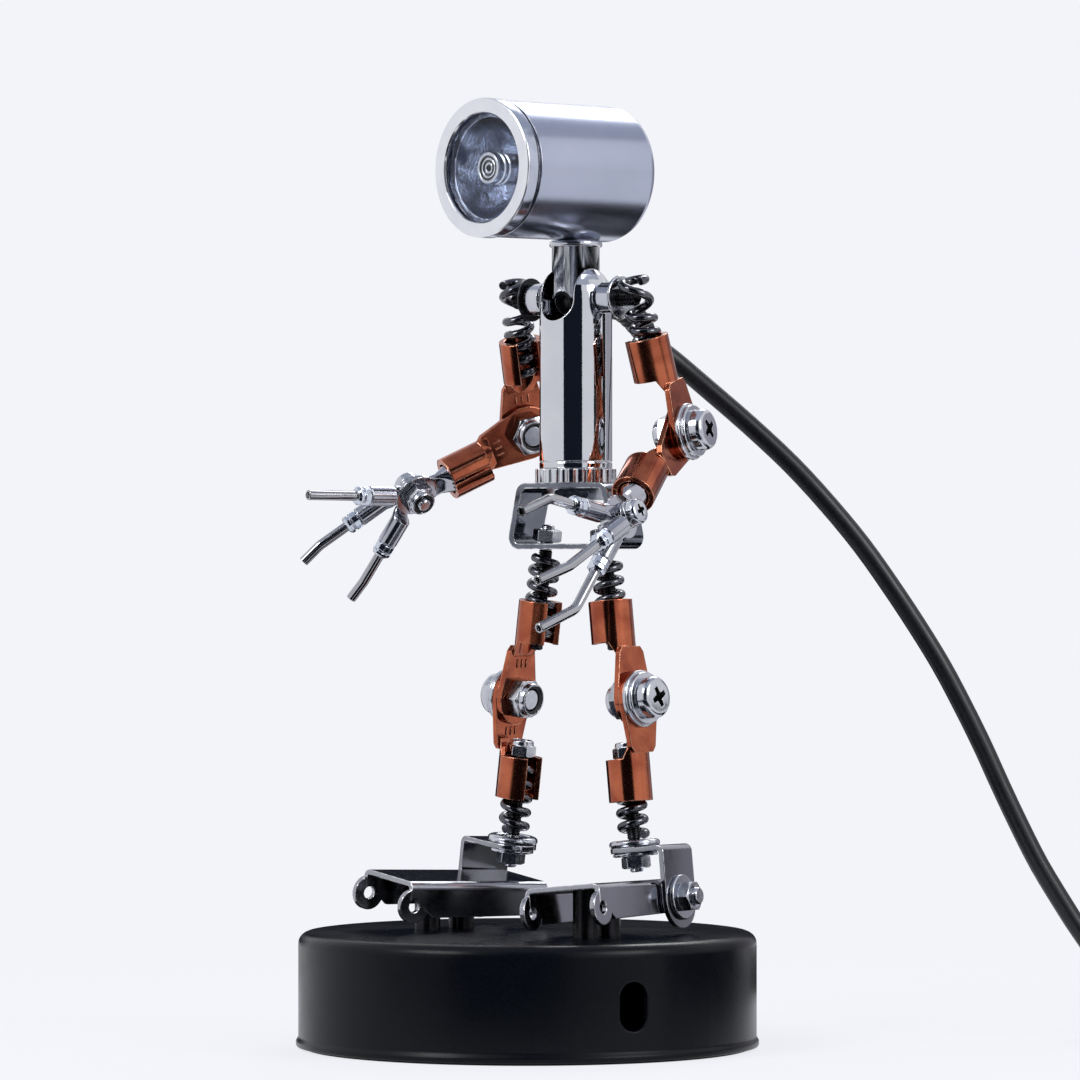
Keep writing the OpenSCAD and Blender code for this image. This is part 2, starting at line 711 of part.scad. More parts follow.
module neck_post() color("#c4c8ce")
    at_robot() difference() {
        union() {
            intersection() {
                union() {
                    translate([0, 0, axle_z]) cylinder(d = neck_d, h = neck_rise - 0.7);
                    translate([0, 0, axle_z]) rotate([0, 90, 0]) rotate_extrude() knuckle();
                }
                translate([-neck_flat / 2, -neck_d, axle_z - neck_d]) cube([neck_flat, 2 * neck_d, 2 * neck_d + neck_rise]);
            }
            translate([0, 0, collar_z - 1.4]) rotate_extrude()
                polygon([
                    [0, 0], [collar_d / 2 - 0.3, 0], [collar_d / 2, 0.3],
                    [collar_d / 2, 1.1], [collar_d / 2 - 0.3, 1.4], [0, 1.4]
                ]);
            translate([0, 0, collar_z - 0.5]) cylinder(d = spigot_d, h = spigot_h + 0.5);
        }
        translate([-neck_d, 0, axle_z]) rotate([0, 90, 0]) cylinder(d = m4_d + 2 * run, h = 2 * neck_d);
    }

// Head frame: +Z runs forwards out of the bezel, -Y is down
module head() at_robot() translate([0, 0, head_z]) rotate([0, 0, -head_turn]) rotate([90, 0, 0]) children();

groove = 0.5;
bezel_at = head_front - bezel_l;
glass_t = 1.5;
glass_at = head_front - 5;
spigot_r = head_d / 2 - head_t - loose / 2;

module head_shell() color("#a9afba")
    difference() {
        head() rotate_extrude($fn = 96) {
            r = head_d / 2;
            polygon([
                [0, -head_back], [r - 1.4, -head_back], [r - 0.4, -head_back + 0.4], [r, -head_back + 1.4],
                [r, bezel_at - groove], [r - 0.6, bezel_at - groove], [r - 0.6, bezel_at],
                [r - head_t, bezel_at], [r - head_t, -head_back + 2], [0, -head_back + 2]
            ]);
        }
        at_robot() translate([0, 0, collar_z - past]) cylinder(d = spigot_d + 2 * run, h = head_d / 3);
    }

module head_bezel() color("#e6e8ec")
    head() rotate_extrude($fn = 96) {
        r = bezel_d / 2;
        hole = bezel_hole_d / 2;
        polygon([
            [hole, head_front], [r - 0.5, head_front], [r, head_front - 0.5], [r, bezel_at + seat],
            [spigot_r, bezel_at + seat], [spigot_r, glass_at + seat], [hole, glass_at + seat]
        ]);
    }

module head_glass() color("#d8e2ee", 0.35)
    head() translate([0, 0, glass_at - glass_t]) cylinder(r = spigot_r, h = glass_t, $fn = 72);

tray_l = 7;
tray_at = glass_at - glass_t - seat - tray_l;
cell_r = 5.1;
cell_ring = 6.3;

// Reflector tray with three cells and a middle post
module lens_tray() color("#b9c3d2")
    head() translate([0, 0, tray_at]) difference() {
        union() {
            difference() {
                cylinder(r = spigot_r, h = tray_l, $fn = 72);
                for (a = [0, 120, 240])
                    rotate(a + 60) translate([cell_ring, 0, 0]) {
                        translate([0, 0, 1.2]) cylinder(r1 = 2.2, r2 = cell_r, h = tray_l, $fn = 40);
                        translate([0, 0, -past]) cylinder(r = 1.9, h = tray_l);
                    }
                translate([0, 0, tray_l - 1]) cylinder(r = bezel_hole_d / 2, h = tray_l, $fn = 72);
            }
            cylinder(d = 6.5, h = tray_l - 0.4);
        }
        translate([0, 0, tray_l - 2]) cylinder(d = 3.4, h = 3);
    }

module led_board() color("#e8eaec")
    head() translate([0, 0, tray_at - seat - 1.6]) {
        cylinder(r = spigot_r, h = 1.6, $fn = 72);
        for (a = [0, 120, 240])
            rotate(a + 60) translate([cell_ring, 0, 1.5]) cylinder(d = 3, h = 1.6);
    }

// Clears the shell's curved inner wall at its corners
head_nut_rise = 0.9;

module head_nut() color("silver")
    at_robot() translate([0, 0, collar_z + flat_gap + head_t + head_nut_rise])
        hex_nut(m4_af, m4_h, spigot_d + 2 * run);

// ---------- arms ----------

function arm_swing(s) = s < 0 ? right_swing : left_swing;
function arm_splay(s) = s < 0 ? right_splay : left_splay;
function arm_turn(s) = s < 0 ? right_turn : left_turn;
function arm_elbow(s) = s < 0 ? right_elbow : left_elbow;
function arm_twist(s) = s < 0 ? right_twist : left_twist;

// Hanging frame of the shoulder spring, which isn't turned about its own length
module arm_hang(s)
    at_robot() side(s) translate([shoulder_x, 0, axle_z])
        rotate([arm_swing(s), 0, 0]) rotate([0, -arm_splay(s), 0]) children();

// Upper arm frame: origin on the axle, +X outwards, the arm hangs along -Z
module upper_arm(s)
    arm_hang(s) rotate([0, 0, arm_turn(s)]) children();

elbow_drop = shoulder_gap + lug_reach;

// Forearm frame: origin on the elbow's axis, the forearm runs along -Z
module forearm(s) upper_arm(s) translate([0, 0, -elbow_drop]) rotate([-arm_elbow(s), 0, 0]) children();

// Shoulder spring: its first turn lies over the axle, which enters on the inner side, and its second
// turn under it
hook_gap = 0.25;
spring_r = (spring_d - wire_d) / 2;
function hook_up(s) = m4_d / 2 + hook_gap + wire_d / 2 + spring_r * tan(arm_splay(s));

// Height of the wire by turns, counted from the place above the axle
function hook_z(t, up) = t < 0 ? up : t < 1 ? up * cos(180 * t) : -up - (t - 1) * spring_pitch;

module shoulder_spring(s) {
    up = hook_up(s);
    bottom = -shoulder_gap - lug_barrel + wire_d / 2 + seat;
    turns = 1 + (-up - bottom) / spring_pitch;
    steps = 14;
    lead_in = 0.55;
    count = ceil((turns + lead_in) * steps);
    arm_hang(s) tube_along([
        for (i = [0:count])
            let (t = -lead_in + (turns + lead_in) * i / count, a = 180 + 360 * t)
            [spring_r * cos(a), spring_r * sin(a), hook_z(t, up)]
    ], wire_d / 2);
}

module arm_lug_down() mirror([0, 0, 1]) lug(turning_hole);

module one_upper_lug(s) upper_arm(s) translate([0, 0, -shoulder_gap]) arm_lug_down();

tongue_out = lug_d / 2;
forearm_shift = -lug_t - flat_gap;

// The forearm's barrel is at its far end
module one_forearm_lug(s)
    forearm(s) translate([forearm_shift, 0, -lug_reach]) lug(turning_hole);

module one_elbow(s)
    upper_arm(s) translate([tongue_out, 0, -elbow_drop]) joint_stack(2 * lug_t + 2 * flat_gap);

// ---------- hands ----------

palm_t = 1;
shank_d = lug_d - 2 * lug_t - 2 * run;
shank_l = 7;
finger_t = 0.8;
finger_ring_d = 6;
barrel_from = 6.6;
barrel_to = 12.8;
ferrule_to = 16.2;

// Hand frame: origin on the wrist bolt in the palm's middle plane, fingers along -Z, nut side +X inwards
module hand(s)
    forearm(s) translate([forearm_shift, 0, -lug_reach - palm_reach])
        rotate([0, 0, arm_twist(s)]) mirror([1, 0, 0]) children();

module one_palm(s) hand(s) difference() {
    union() {
        translate([-palm_t / 2, 0, 0]) rotate([0, 90, 0]) cylinder(d = palm_d, h = palm_t);
        translate([-palm_t / 2, -2.15, 0]) cube([palm_t, 4.3, palm_reach + 1]);
        translate([0, 0, palm_reach + 0.6]) cylinder(d = shank_d, h = shank_l);
    }
    translate([-2, 0, 0]) rotate([0, 90, 0]) cylinder(d = m3_d + 2 * run, h = 4);
}

// Layers of the three finger rings below the palm, and which way each barrel bulges
finger_layer = [1, 3, 2];
finger_bulge = [1, -1, 1];
function layer_x(k) = -palm_t / 2 - finger_layer[k] * (finger_t + flat_gap);

module one_wrist(s) hand(s) rotate([0, 90, 0]) {
    low = -palm_t / 2 - 3 * (finger_t + flat_gap) - flat_gap;
    translate([0, 0, low]) mirror([0, 0, 1]) pan_head(5.6, 2.2);
    translate([0, 0, low - 0.1]) cylinder(d = m3_d, h = -low + palm_t / 2 + m3_h + 1.5);
    translate([0, 0, palm_t / 2 + flat_gap]) lock_nut(m3_af, m3_h + 0.8, m3_d + 2 * run);
}

function fan(s, k) = s < 0 ? right_fan[k] : left_fan[k];
function curl(s, k) = s < 0 ? right_curl[k] : left_curl[k];
function tip(s, k) = s < 0 ? right_tip[k] : left_tip[k];

// Tube down -Z from z0 to z1, where it bends by an angle about X and runs on by l2 to an open end
module bent_tube(d, z0, z1, angle, l2) {
    bend_r = 2.5 * d;
    cut = bend_r * tan(abs(angle) / 2);
    way = sign(angle);
    function on_arc(a) = [0, way * bend_r * (1 - cos(a)), -z1 + cut - bend_r * sin(a)];
    tip = [0, 0, -z1] + l2 * [0, way * sin(abs(angle)), -cos(angle)];
    end_way = [0, way * sin(abs(angle)), -cos(angle)];
    ring_tube(concat(
        [[[0, 0, -z0], [0, 0, -1], d / 2]],
        [for (k = [0:4]) let (a = abs(angle) * k / 4) [on_arc(a), [0, way * sin(a), -cos(a)], d / 2]],
        [[tip, end_way, d / 2], [tip, end_way, d / 3.4], [tip - 2.5 * end_way, end_way, d / 3.4]]
    ), 10, [1, 0, 0]);
}

module one_finger(s, k) {
    bulge = finger_bulge[k];
    axis_x = finger_t / 2 + bulge * (finger_d - finger_t) / 2;
    hand(s) rotate([fan(s, k), 0, 0]) translate([layer_x(k), 0, 0]) {
        // ring and barrel
        difference() {
            union() {
                rotate([0, 90, 0]) cylinder(d = finger_ring_d, h = finger_t);
                translate([0, -1.5, -barrel_from - 1]) cube([finger_t, 3, barrel_from + 1]);
                translate([axis_x, 0, -barrel_to]) cylinder(d = finger_d, h = barrel_to - barrel_from);
            }
            translate([-1, 0, 0]) rotate([0, 90, 0]) cylinder(d = m3_d + 2 * run, h = 3);
            translate([axis_x, 0, -barrel_to - past]) cylinder(d = finger_tube_d + 2 * seat, h = barrel_to - barrel_from - 0.5 + past);
        }
        // ferrule
        translate([axis_x, 0, -ferrule_to]) difference() {
            cylinder(d = finger_d, h = ferrule_to - barrel_to - seat);
            translate([0, 0, -past]) cylinder(d = finger_tube_d + 2 * seat, h = 2 * past + ferrule_to);
        }
        // bent tube
        translate([axis_x, 0, 0])
            bent_tube(finger_tube_d, barrel_from + 1.5, finger_bend, curl(s, k), tip(s, k));
    }
}

module right_shoulder_spring() color("#303338") shoulder_spring(-1);
module right_upper_arm_lug() color("#b5653a") one_upper_lug(-1);
module right_elbow_fasteners() color("silver") one_elbow(-1);
module right_forearm_lug() color("#b5653a") one_forearm_lug(-1);
module right_palm_lug() color("#b8bbc0") one_palm(-1);
module right_wrist_fasteners() color("silver") one_wrist(-1);
module right_finger_1() color("#b8bbc0") one_finger(-1, 0);
module right_finger_2() color("#b8bbc0") one_finger(-1, 1);
module right_finger_3() color("#b8bbc0") one_finger(-1, 2);
module left_shoulder_spring() color("#303338") shoulder_spring(1);
module left_upper_arm_lug() color("#b5653a") one_upper_lug(1);
module left_elbow_fasteners() color("silver") one_elbow(1);
module left_forearm_lug() color("#b5653a") one_forearm_lug(1);
module left_palm_lug() color("#b8bbc0") one_palm(1);
module left_wrist_fasteners() color("silver") one_wrist(1);
module left_finger_1() color("#b8bbc0") one_finger(1, 0);
module left_finger_2() color("#b8bbc0") one_finger(1, 1);
module left_finger_3() color("#b8bbc0") one_finger(1, 2);

// ---------- cord ----------

// The boot's route in the robot's frame, level at first and then bowed down, with its radii
boot_z = axle_z - 0.5;
boot_route = [
    [0, 8.9, boot_z], [0, 12.5, boot_z], [0, 16, boot_z - 0.6], [0, 19.2, boot_z - 2.2],
    [0, 22.2, boot_z - 4.4], [0, 24.6, boot_z - 6.5]
];
boot_r = [3.9, 3.7, 3.4, 3.1, 2.9, 2.7];

// The lead's route, chosen by hand: from the boot down past the base and out to the coil
lead_drawn = [
    [4, 36.3, 154.9], [4.6, 39.8, 152], [6.8, 43.6, 148.8], [11.2, 47.7, 143.7], [19.1, 54.1, 134.9],
    [26.4, 60, 126.1], [32.8, 65.1, 117.2], [38.4, 69.7, 108.4], [43.3, 73.6, 99.6], [47.9, 77.3, 90.7],
    [52.1, 80.7, 81.9], [55.7, 83.7, 73.1], [59.1, 86.5, 64.2], [62.2, 89, 55.4], [65.5, 91.6, 46.5],
    [69, 94.4, 37.7], [73.1, 97.8, 28.9], [75.9, 100, 23.4], [80.6, 103.8, 15], [86, 108.2, 8],
    [91.4, 112.6, 4], [98, 118, 2.2]
];
// The drawn route moves with the boot's end and keeps its lower end
lead_top = [robot_x, robot_y, 0] + boot_route[5];
lead_route = [
    for (p = lead_drawn)
        let (f = (p[2] - cord_d / 2) / (lead_drawn[0][2] - cord_d / 2))
        p + f * (lead_top - lead_drawn[0])
];
coil_centre = [125, 99.5];
// From the coil's top layer down and round to the plug
tail_route = [
    [149.6, 119.4, 6.6], [154, 113.9, 6.6], [158.4, 108.5, 6.3], [162.8, 103.1, 5.7], [166.8, 98, 5.1],
    [170, 92.4, 4.6], [171.6, 86.2, 4.3], [171.2, 79.8, 4.2], [168.4, 74, 4.2], [164, 70, 4.2]
];
plug_turn = -140;

relief_root_d = dome_slot - 0.2;
relief_in = 1.8;

module cord_relief() color("#141414") at_robot() {
    translate([0, torso_r - relief_in, boot_z]) rotate([-90, 0, 0]) {
        cylinder(d = relief_root_d, h = relief_in + 0.5);
        translate([0, 0, relief_in]) cylinder(r = 4.9, h = 1);
    }
    tube_along(boot_route, boot_r, 12);
}

module cord_lead() color("#101011") tube_along(lead_route, cord_d / 2, 8);

coil_w = coil_wide * cord_d;
coil_h = coil_high * cord_d;

module cord_coil() color("#101011")
    translate([coil_centre[0], coil_centre[1], 0]) rotate_extrude($fn = 72)
        polygon(rounded([
            [coil_d / 2 - coil_w / 2, 0], [coil_d / 2 + coil_w / 2, 0],
            [coil_d / 2 + coil_w / 2, coil_h], [coil_d / 2 - coil_w / 2, coil_h]
        ], cord_d / 2));

module cord_tie() color("#1d1d1f")
    translate([coil_centre[0], coil_centre[1], 0]) rotate([0, 0, -60]) translate([coil_d / 2, 0, 0]) difference() {
        translate([-coil_w / 2 - 0.9, -1.5, 0]) cube([coil_w + 1.8, 3, coil_h + 0.9]);
        translate([-coil_w / 2, -1.5 - past, 0.6]) cube([coil_w, 3 + 2 * past, coil_h - 0.6]);
    }

module cord_tail() color("#101011") tube_along(tail_route, cord_d / 2, 8);

plug_l = 15;
plug_w = 15;
plug_h = 8.4;
shell_l = 11.5;
shell_w = 12;
shell_h = 4.5;
neck_l = 5.5;

module at_plug() translate([tail_route[9][0], tail_route[9][1], plug_h / 2]) rotate([0, 0, plug_turn]) children();

module usb_plug() color("#18181a") at_plug() difference() {
    union() {
        rotate([0, 90, 0]) cylinder(d1 = cord_d + 1, d2 = cord_d + 2.6, h = neck_l + 1);
        translate([neck_l, 0, -plug_h / 2]) linear_extrude(plug_h)
            polygon(rounded([[0, -plug_w / 2], [plug_l, -plug_w / 2], [plug_l, plug_w / 2], [0, plug_w / 2]], 2.4));
        translate([neck_l + plug_l - 1, -shell_w / 2, -shell_h / 2]) cube([shell_l + 1, shell_w, shell_h]);
    }
    translate([neck_l + plug_l, -shell_w / 2 + 0.4, -0.4]) cube([shell_l + past, shell_w - 0.8, shell_h / 2]);
}

base_shell();
base_weight();
base_pad();
foot_fasteners();
foot_spacers();
right_foot();
left_foot();
right_ankle_bracket();
left_ankle_bracket();
ankle_fasteners();
ankle_springs();
ankle_rods();
right_shin_lug();
left_shin_lug();
right_thigh_lug();
left_thigh_lug();
knee_fasteners();
hip_springs();
hip_screws();
pelvis_frame();
waist_nut();
waist_ring();
torso_tube();
shoulder_axle();
shoulder_nuts();
neck_post();
head_shell();
head_bezel();
head_glass();
lens_tray();
led_board();
head_nut();
right_shoulder_spring();
right_upper_arm_lug();
right_elbow_fasteners();
right_forearm_lug();
right_palm_lug();
right_wrist_fasteners();
right_finger_1();
right_finger_2();
right_finger_3();
left_shoulder_spring();
left_upper_arm_lug();
left_elbow_fasteners();
left_forearm_lug();
left_palm_lug();
left_wrist_fasteners();
left_finger_1();
left_finger_2();
left_finger_3();
cord_relief();
cord_lead();
cord_coil();
cord_tie();
cord_tail();
usb_plug();
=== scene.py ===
import logging
import math
from dataclasses import dataclass, field
from enum import Enum
from typing import Sequence

import bpy
from mathutils import Matrix, Vector


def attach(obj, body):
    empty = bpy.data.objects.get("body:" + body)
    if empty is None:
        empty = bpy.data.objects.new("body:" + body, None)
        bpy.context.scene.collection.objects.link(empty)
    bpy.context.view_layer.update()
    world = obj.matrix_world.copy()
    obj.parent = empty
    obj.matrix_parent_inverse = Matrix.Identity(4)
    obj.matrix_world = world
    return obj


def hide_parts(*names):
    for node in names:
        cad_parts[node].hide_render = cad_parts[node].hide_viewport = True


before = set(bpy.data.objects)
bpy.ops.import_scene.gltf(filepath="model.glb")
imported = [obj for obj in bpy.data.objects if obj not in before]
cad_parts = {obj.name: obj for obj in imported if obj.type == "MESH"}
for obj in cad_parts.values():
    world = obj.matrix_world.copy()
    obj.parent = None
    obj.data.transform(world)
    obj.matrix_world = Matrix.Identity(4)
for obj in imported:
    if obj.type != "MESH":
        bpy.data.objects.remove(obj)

LOG = logging.getLogger("desk_lamp")
MM = 0.001
AXIS_R = 0.01
Flat = tuple[float, float]
Point = tuple[float, float, float]
Corner = Point | Vector
Colour = tuple[float, float, float, float]
Socket = bpy.types.NodeSocket
Value = Socket | Colour | Point | float | str | int
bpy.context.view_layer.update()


class Side(Enum):
    """The robot's own right or left, as the sign of its sideways direction."""

    RIGHT = -1
    LEFT = 1

    @property
    def word(self) -> str:
        """Name of the side as the parts use it."""
        return self.name.lower()


def move(x: float, y: float, z: float) -> Matrix:
    """Shift in millimetres."""
    return Matrix.Translation((x, y, z))


def turn(axis: str, degrees: float) -> Matrix:
    """Turn about one axis."""
    return Matrix.Rotation(math.radians(degrees), 4, axis)


def mirror_x() -> Matrix:
    """Mirror image across the YZ plane."""
    return Matrix.Diagonal((-1, 1, 1, 1))


@dataclass(frozen=True)
class Pose:
    """How one side of the robot is set, with angles in degrees and sizes in millimetres.

    Attributes:
        ankle_x: Distance of the ankle from the robot's middle.
        toe: Angle by which the toes point outwards.
        swing: Forward swing of the arm at the shoulder.
        splay: Angle between the hanging arm and the torso.
        turn: Turn of the upper arm about its own length.
        elbow: Bend of the elbow.
        twist: Turn of the hand about the forearm's length.
        fan: Spread of the three fingers about the wrist bolt.
        lean: Sideways bend of each finger's neck.
        bend: Distance from the wrist bolt to each tube's bend.
        curl: Bend of each finger's tube.
        tip: Length of each tube past its bend.
    """

    ankle_x: float
    toe: float
    swing: float
    splay: float
    turn: float
    elbow: float
    twist: float
    fan: Point
    lean: Point
    bend: Point
    curl: Point
    tip: Point


@dataclass(frozen=True)
class Figure:
    """Local frames of the robot, in millimetres: each method gives the matrix of one sub-assembly."""

    place: Point = (4.0, 11.7, 0.0)
    hip_x: float = 9.56
    hip_z: float = 107.5
    ankle_z: float = 43.3
    axle_z: float = 161.9
    head_z: float = 189.21
    head_turn: float = 8.4
    shoulder_x: float = 16.9
    shoulder_gap: float = 9.0
    lug_reach: float = 21.8
    ankle_gap: float = 9.9
    lug_barrel: float = 9.2
    palm_reach: float = 8.0
    forearm_shift: float = -1.26
    thigh_shift: float = -1.23
    sides: dict[Side, Pose] = field(default_factory=lambda: {
        Side.RIGHT: Pose(ankle_x=17.8, toe=15, swing=17, splay=5, turn=31, elbow=76, twist=-24,
                         fan=(-32, 13, 46), lean=(0, 0, 0), bend=(23.5, 23.5, 23.5), curl=(0, 14, -8),
                         tip=(5, 5, 5)),
        Side.LEFT: Pose(ankle_x=16.3, toe=8, swing=15, splay=4.5, turn=12, elbow=67, twist=-12,
                        fan=(-49, -14, 9), lean=(0, -10, -14), bend=(23.5, 26.5, 26.5), curl=(25, -10, -30),
                        tip=(12, 10.5, 12)),
    })

    def robot(self) -> Matrix:
        """Frame between the robot's feet, on the desk."""
        return move(*self.place)

    def half(self, side: Side) -> Matrix:
        """Robot frame, mirrored for its right side."""
        return self.robot() @ (mirror_x() if side is Side.RIGHT else Matrix.Identity(4))

    def leg_lean(self, side: Side) -> float:
        """Outward lean of a leg, in degrees."""
        return math.degrees(math.atan2(self.sides[side].ankle_x - self.hip_x, self.hip_z - self.ankle_z))

    def leg_length(self, side: Side) -> float:
        """Distance from the ankle bracket to the pelvis."""
        return math.hypot(self.sides[side].ankle_x - self.hip_x, self.hip_z - self.ankle_z)

    def leg(self, side: Side) -> Matrix:
        """Leg frame: origin on the ankle bracket, +Z up the leg, +X outwards."""
        pose = self.sides[side]
        return self.half(side) @ move(pose.ankle_x, 0, self.ankle_z) @ turn("Y", -self.leg_lean(side))

    def foot(self, side: Side) -> Matrix:
        """Foot frame: as the leg, with -Y towards the toe."""
        return self.leg(side) @ turn("Z", self.sides[side].toe)

    def arm_hang(self, side: Side) -> Matrix:
        """Shoulder spring frame: origin on the axle, the arm hangs along -Z."""
        pose = self.sides[side]
        return (self.half(side) @ move(self.shoulder_x, 0, self.axle_z)
                @ turn("X", pose.swing) @ turn("Y", -pose.splay))

    def upper_arm(self, side: Side) -> Matrix:
        """Upper arm frame: as the spring's, turned about the arm's length."""
        return self.arm_hang(side) @ turn("Z", self.sides[side].turn)

    @property
    def knee_at(self) -> float:
        """Distance from the ankle bracket to the knee."""
        return self.ankle_gap + self.lug_reach

    @property
    def thigh_at(self) -> float:
        """Distance from the ankle bracket to the thigh lug's open end."""
        return self.ankle_gap + 2 * self.lug_reach

    @property
    def elbow_drop(self) -> float:
        """Distance from the shoulder axle to the elbow."""
        return self.shoulder_gap + self.lug_reach

    def forearm(self, side: Side) -> Matrix:
        """Forearm frame: origin on the elbow, the forearm runs along -Z."""
        return self.upper_arm(side) @ move(0, 0, -self.elbow_drop) @ turn("X", -self.sides[side].elbow)

    def forearm_mouth(self, side: Side) -> Matrix:
        """Frame at the open end of the forearm's barrel, +Z towards the elbow."""
        return self.forearm(side) @ move(self.forearm_shift, 0, -self.lug_reach)

    def hand(self, side: Side) -> Matrix:
        """Hand frame: origin on the wrist bolt, fingers along -Z, the nut on +X."""
        twisted = self.forearm_mouth(side) @ turn("Z", self.sides[side].twist)
        return twisted @ move(0, 0, -self.palm_reach) @ mirror_x()

    def head(self) -> Matrix:
        """Head frame: +Z runs out of the bezel, -Y is down."""
        return self.robot() @ move(0, 0, self.head_z) @ turn("Z", -self.head_turn) @ turn("X", 90)


FIGURE = Figure()


# -------- finishes

def node_group(name: str, inputs: dict[str, float], outputs: dict[str, str]) -> bpy.types.NodeTree:
    """Makes an empty shader group.

    Args:
        name: Name of the group.
        inputs: Input name to default value, all plain numbers.
        outputs: Output name to socket type.

    Returns:
        The group, with its input and output nodes in place.
    """
    group = bpy.data.node_groups.new(name, "ShaderNodeTree")
    for label, value in inputs.items():
        socket = group.interface.new_socket(label, in_out="INPUT", socket_type="NodeSocketFloat")
        socket.default_value = value
    for label, kind in outputs.items():
        group.interface.new_socket(label, in_out="OUTPUT", socket_type=kind)
    group.nodes.new("NodeGroupInput").name = "in"
    group.nodes.new("NodeGroupOutput").name = "out"
    return group


class Wire:
    """Short way to add and join nodes in one tree."""

    def __init__(self, tree: bpy.types.NodeTree) -> None:
        """Keeps the tree that the nodes go into."""
        self.tree = tree

    def node(self, kind: str, links: dict[str | int, Value] | None = None,
             **settings: Value) -> bpy.types.Node:
        """Adds a node.

        Args:
            kind: Blender's type name of the node.
            links: Input name or number to a value or to the socket that feeds it.
            **settings: Attributes of the node.

        Returns:
            The new node.
        """
        made = self.tree.nodes.new(kind)
        for key, value in settings.items():
            setattr(made, key, value)
        for key, value in (links or {}).items():
            if isinstance(value, bpy.types.NodeSocket):
                self.tree.links.new(value, made.inputs[key])
            else:
                made.inputs[key].default_value = value
        return made

    def math(self, operation: str, first: Value, second: Value = 0.0) -> Socket:
        """Adds a Math node and gives its output."""
        return self.node("ShaderNodeMath", {0: first, 1: second}, operation=operation).outputs[0]

    def ramp(self, value: Value, low: float, high: float,
             out: Flat = (0.0, 1.0)) -> Socket:
        """Maps a value between two limits on to a new range."""
        made = self.node("ShaderNodeMapRange", {0: value, 1: low, 2: high, 3: out[0], 4: out[1]})
        return made.outputs[0]

    def mix(self, amount: Value, first: Value, second: Value) -> Socket:
        """Mixes two colours, each a socket or four numbers."""
        made = self.node("ShaderNodeMix", {0: amount, 6: first, 7: second}, data_type="RGBA")
        return made.outputs[2]

    def feed(self, shader: bpy.types.Node, colour: Socket, roughness: Socket, normal: Socket) -> None:
        """Joins colour, roughness and normal to a Principled node."""
        for name, socket in (("Base Color", colour), ("Roughness", roughness), ("Normal", normal)):
            self.tree.links.new(socket, shader.inputs[name])


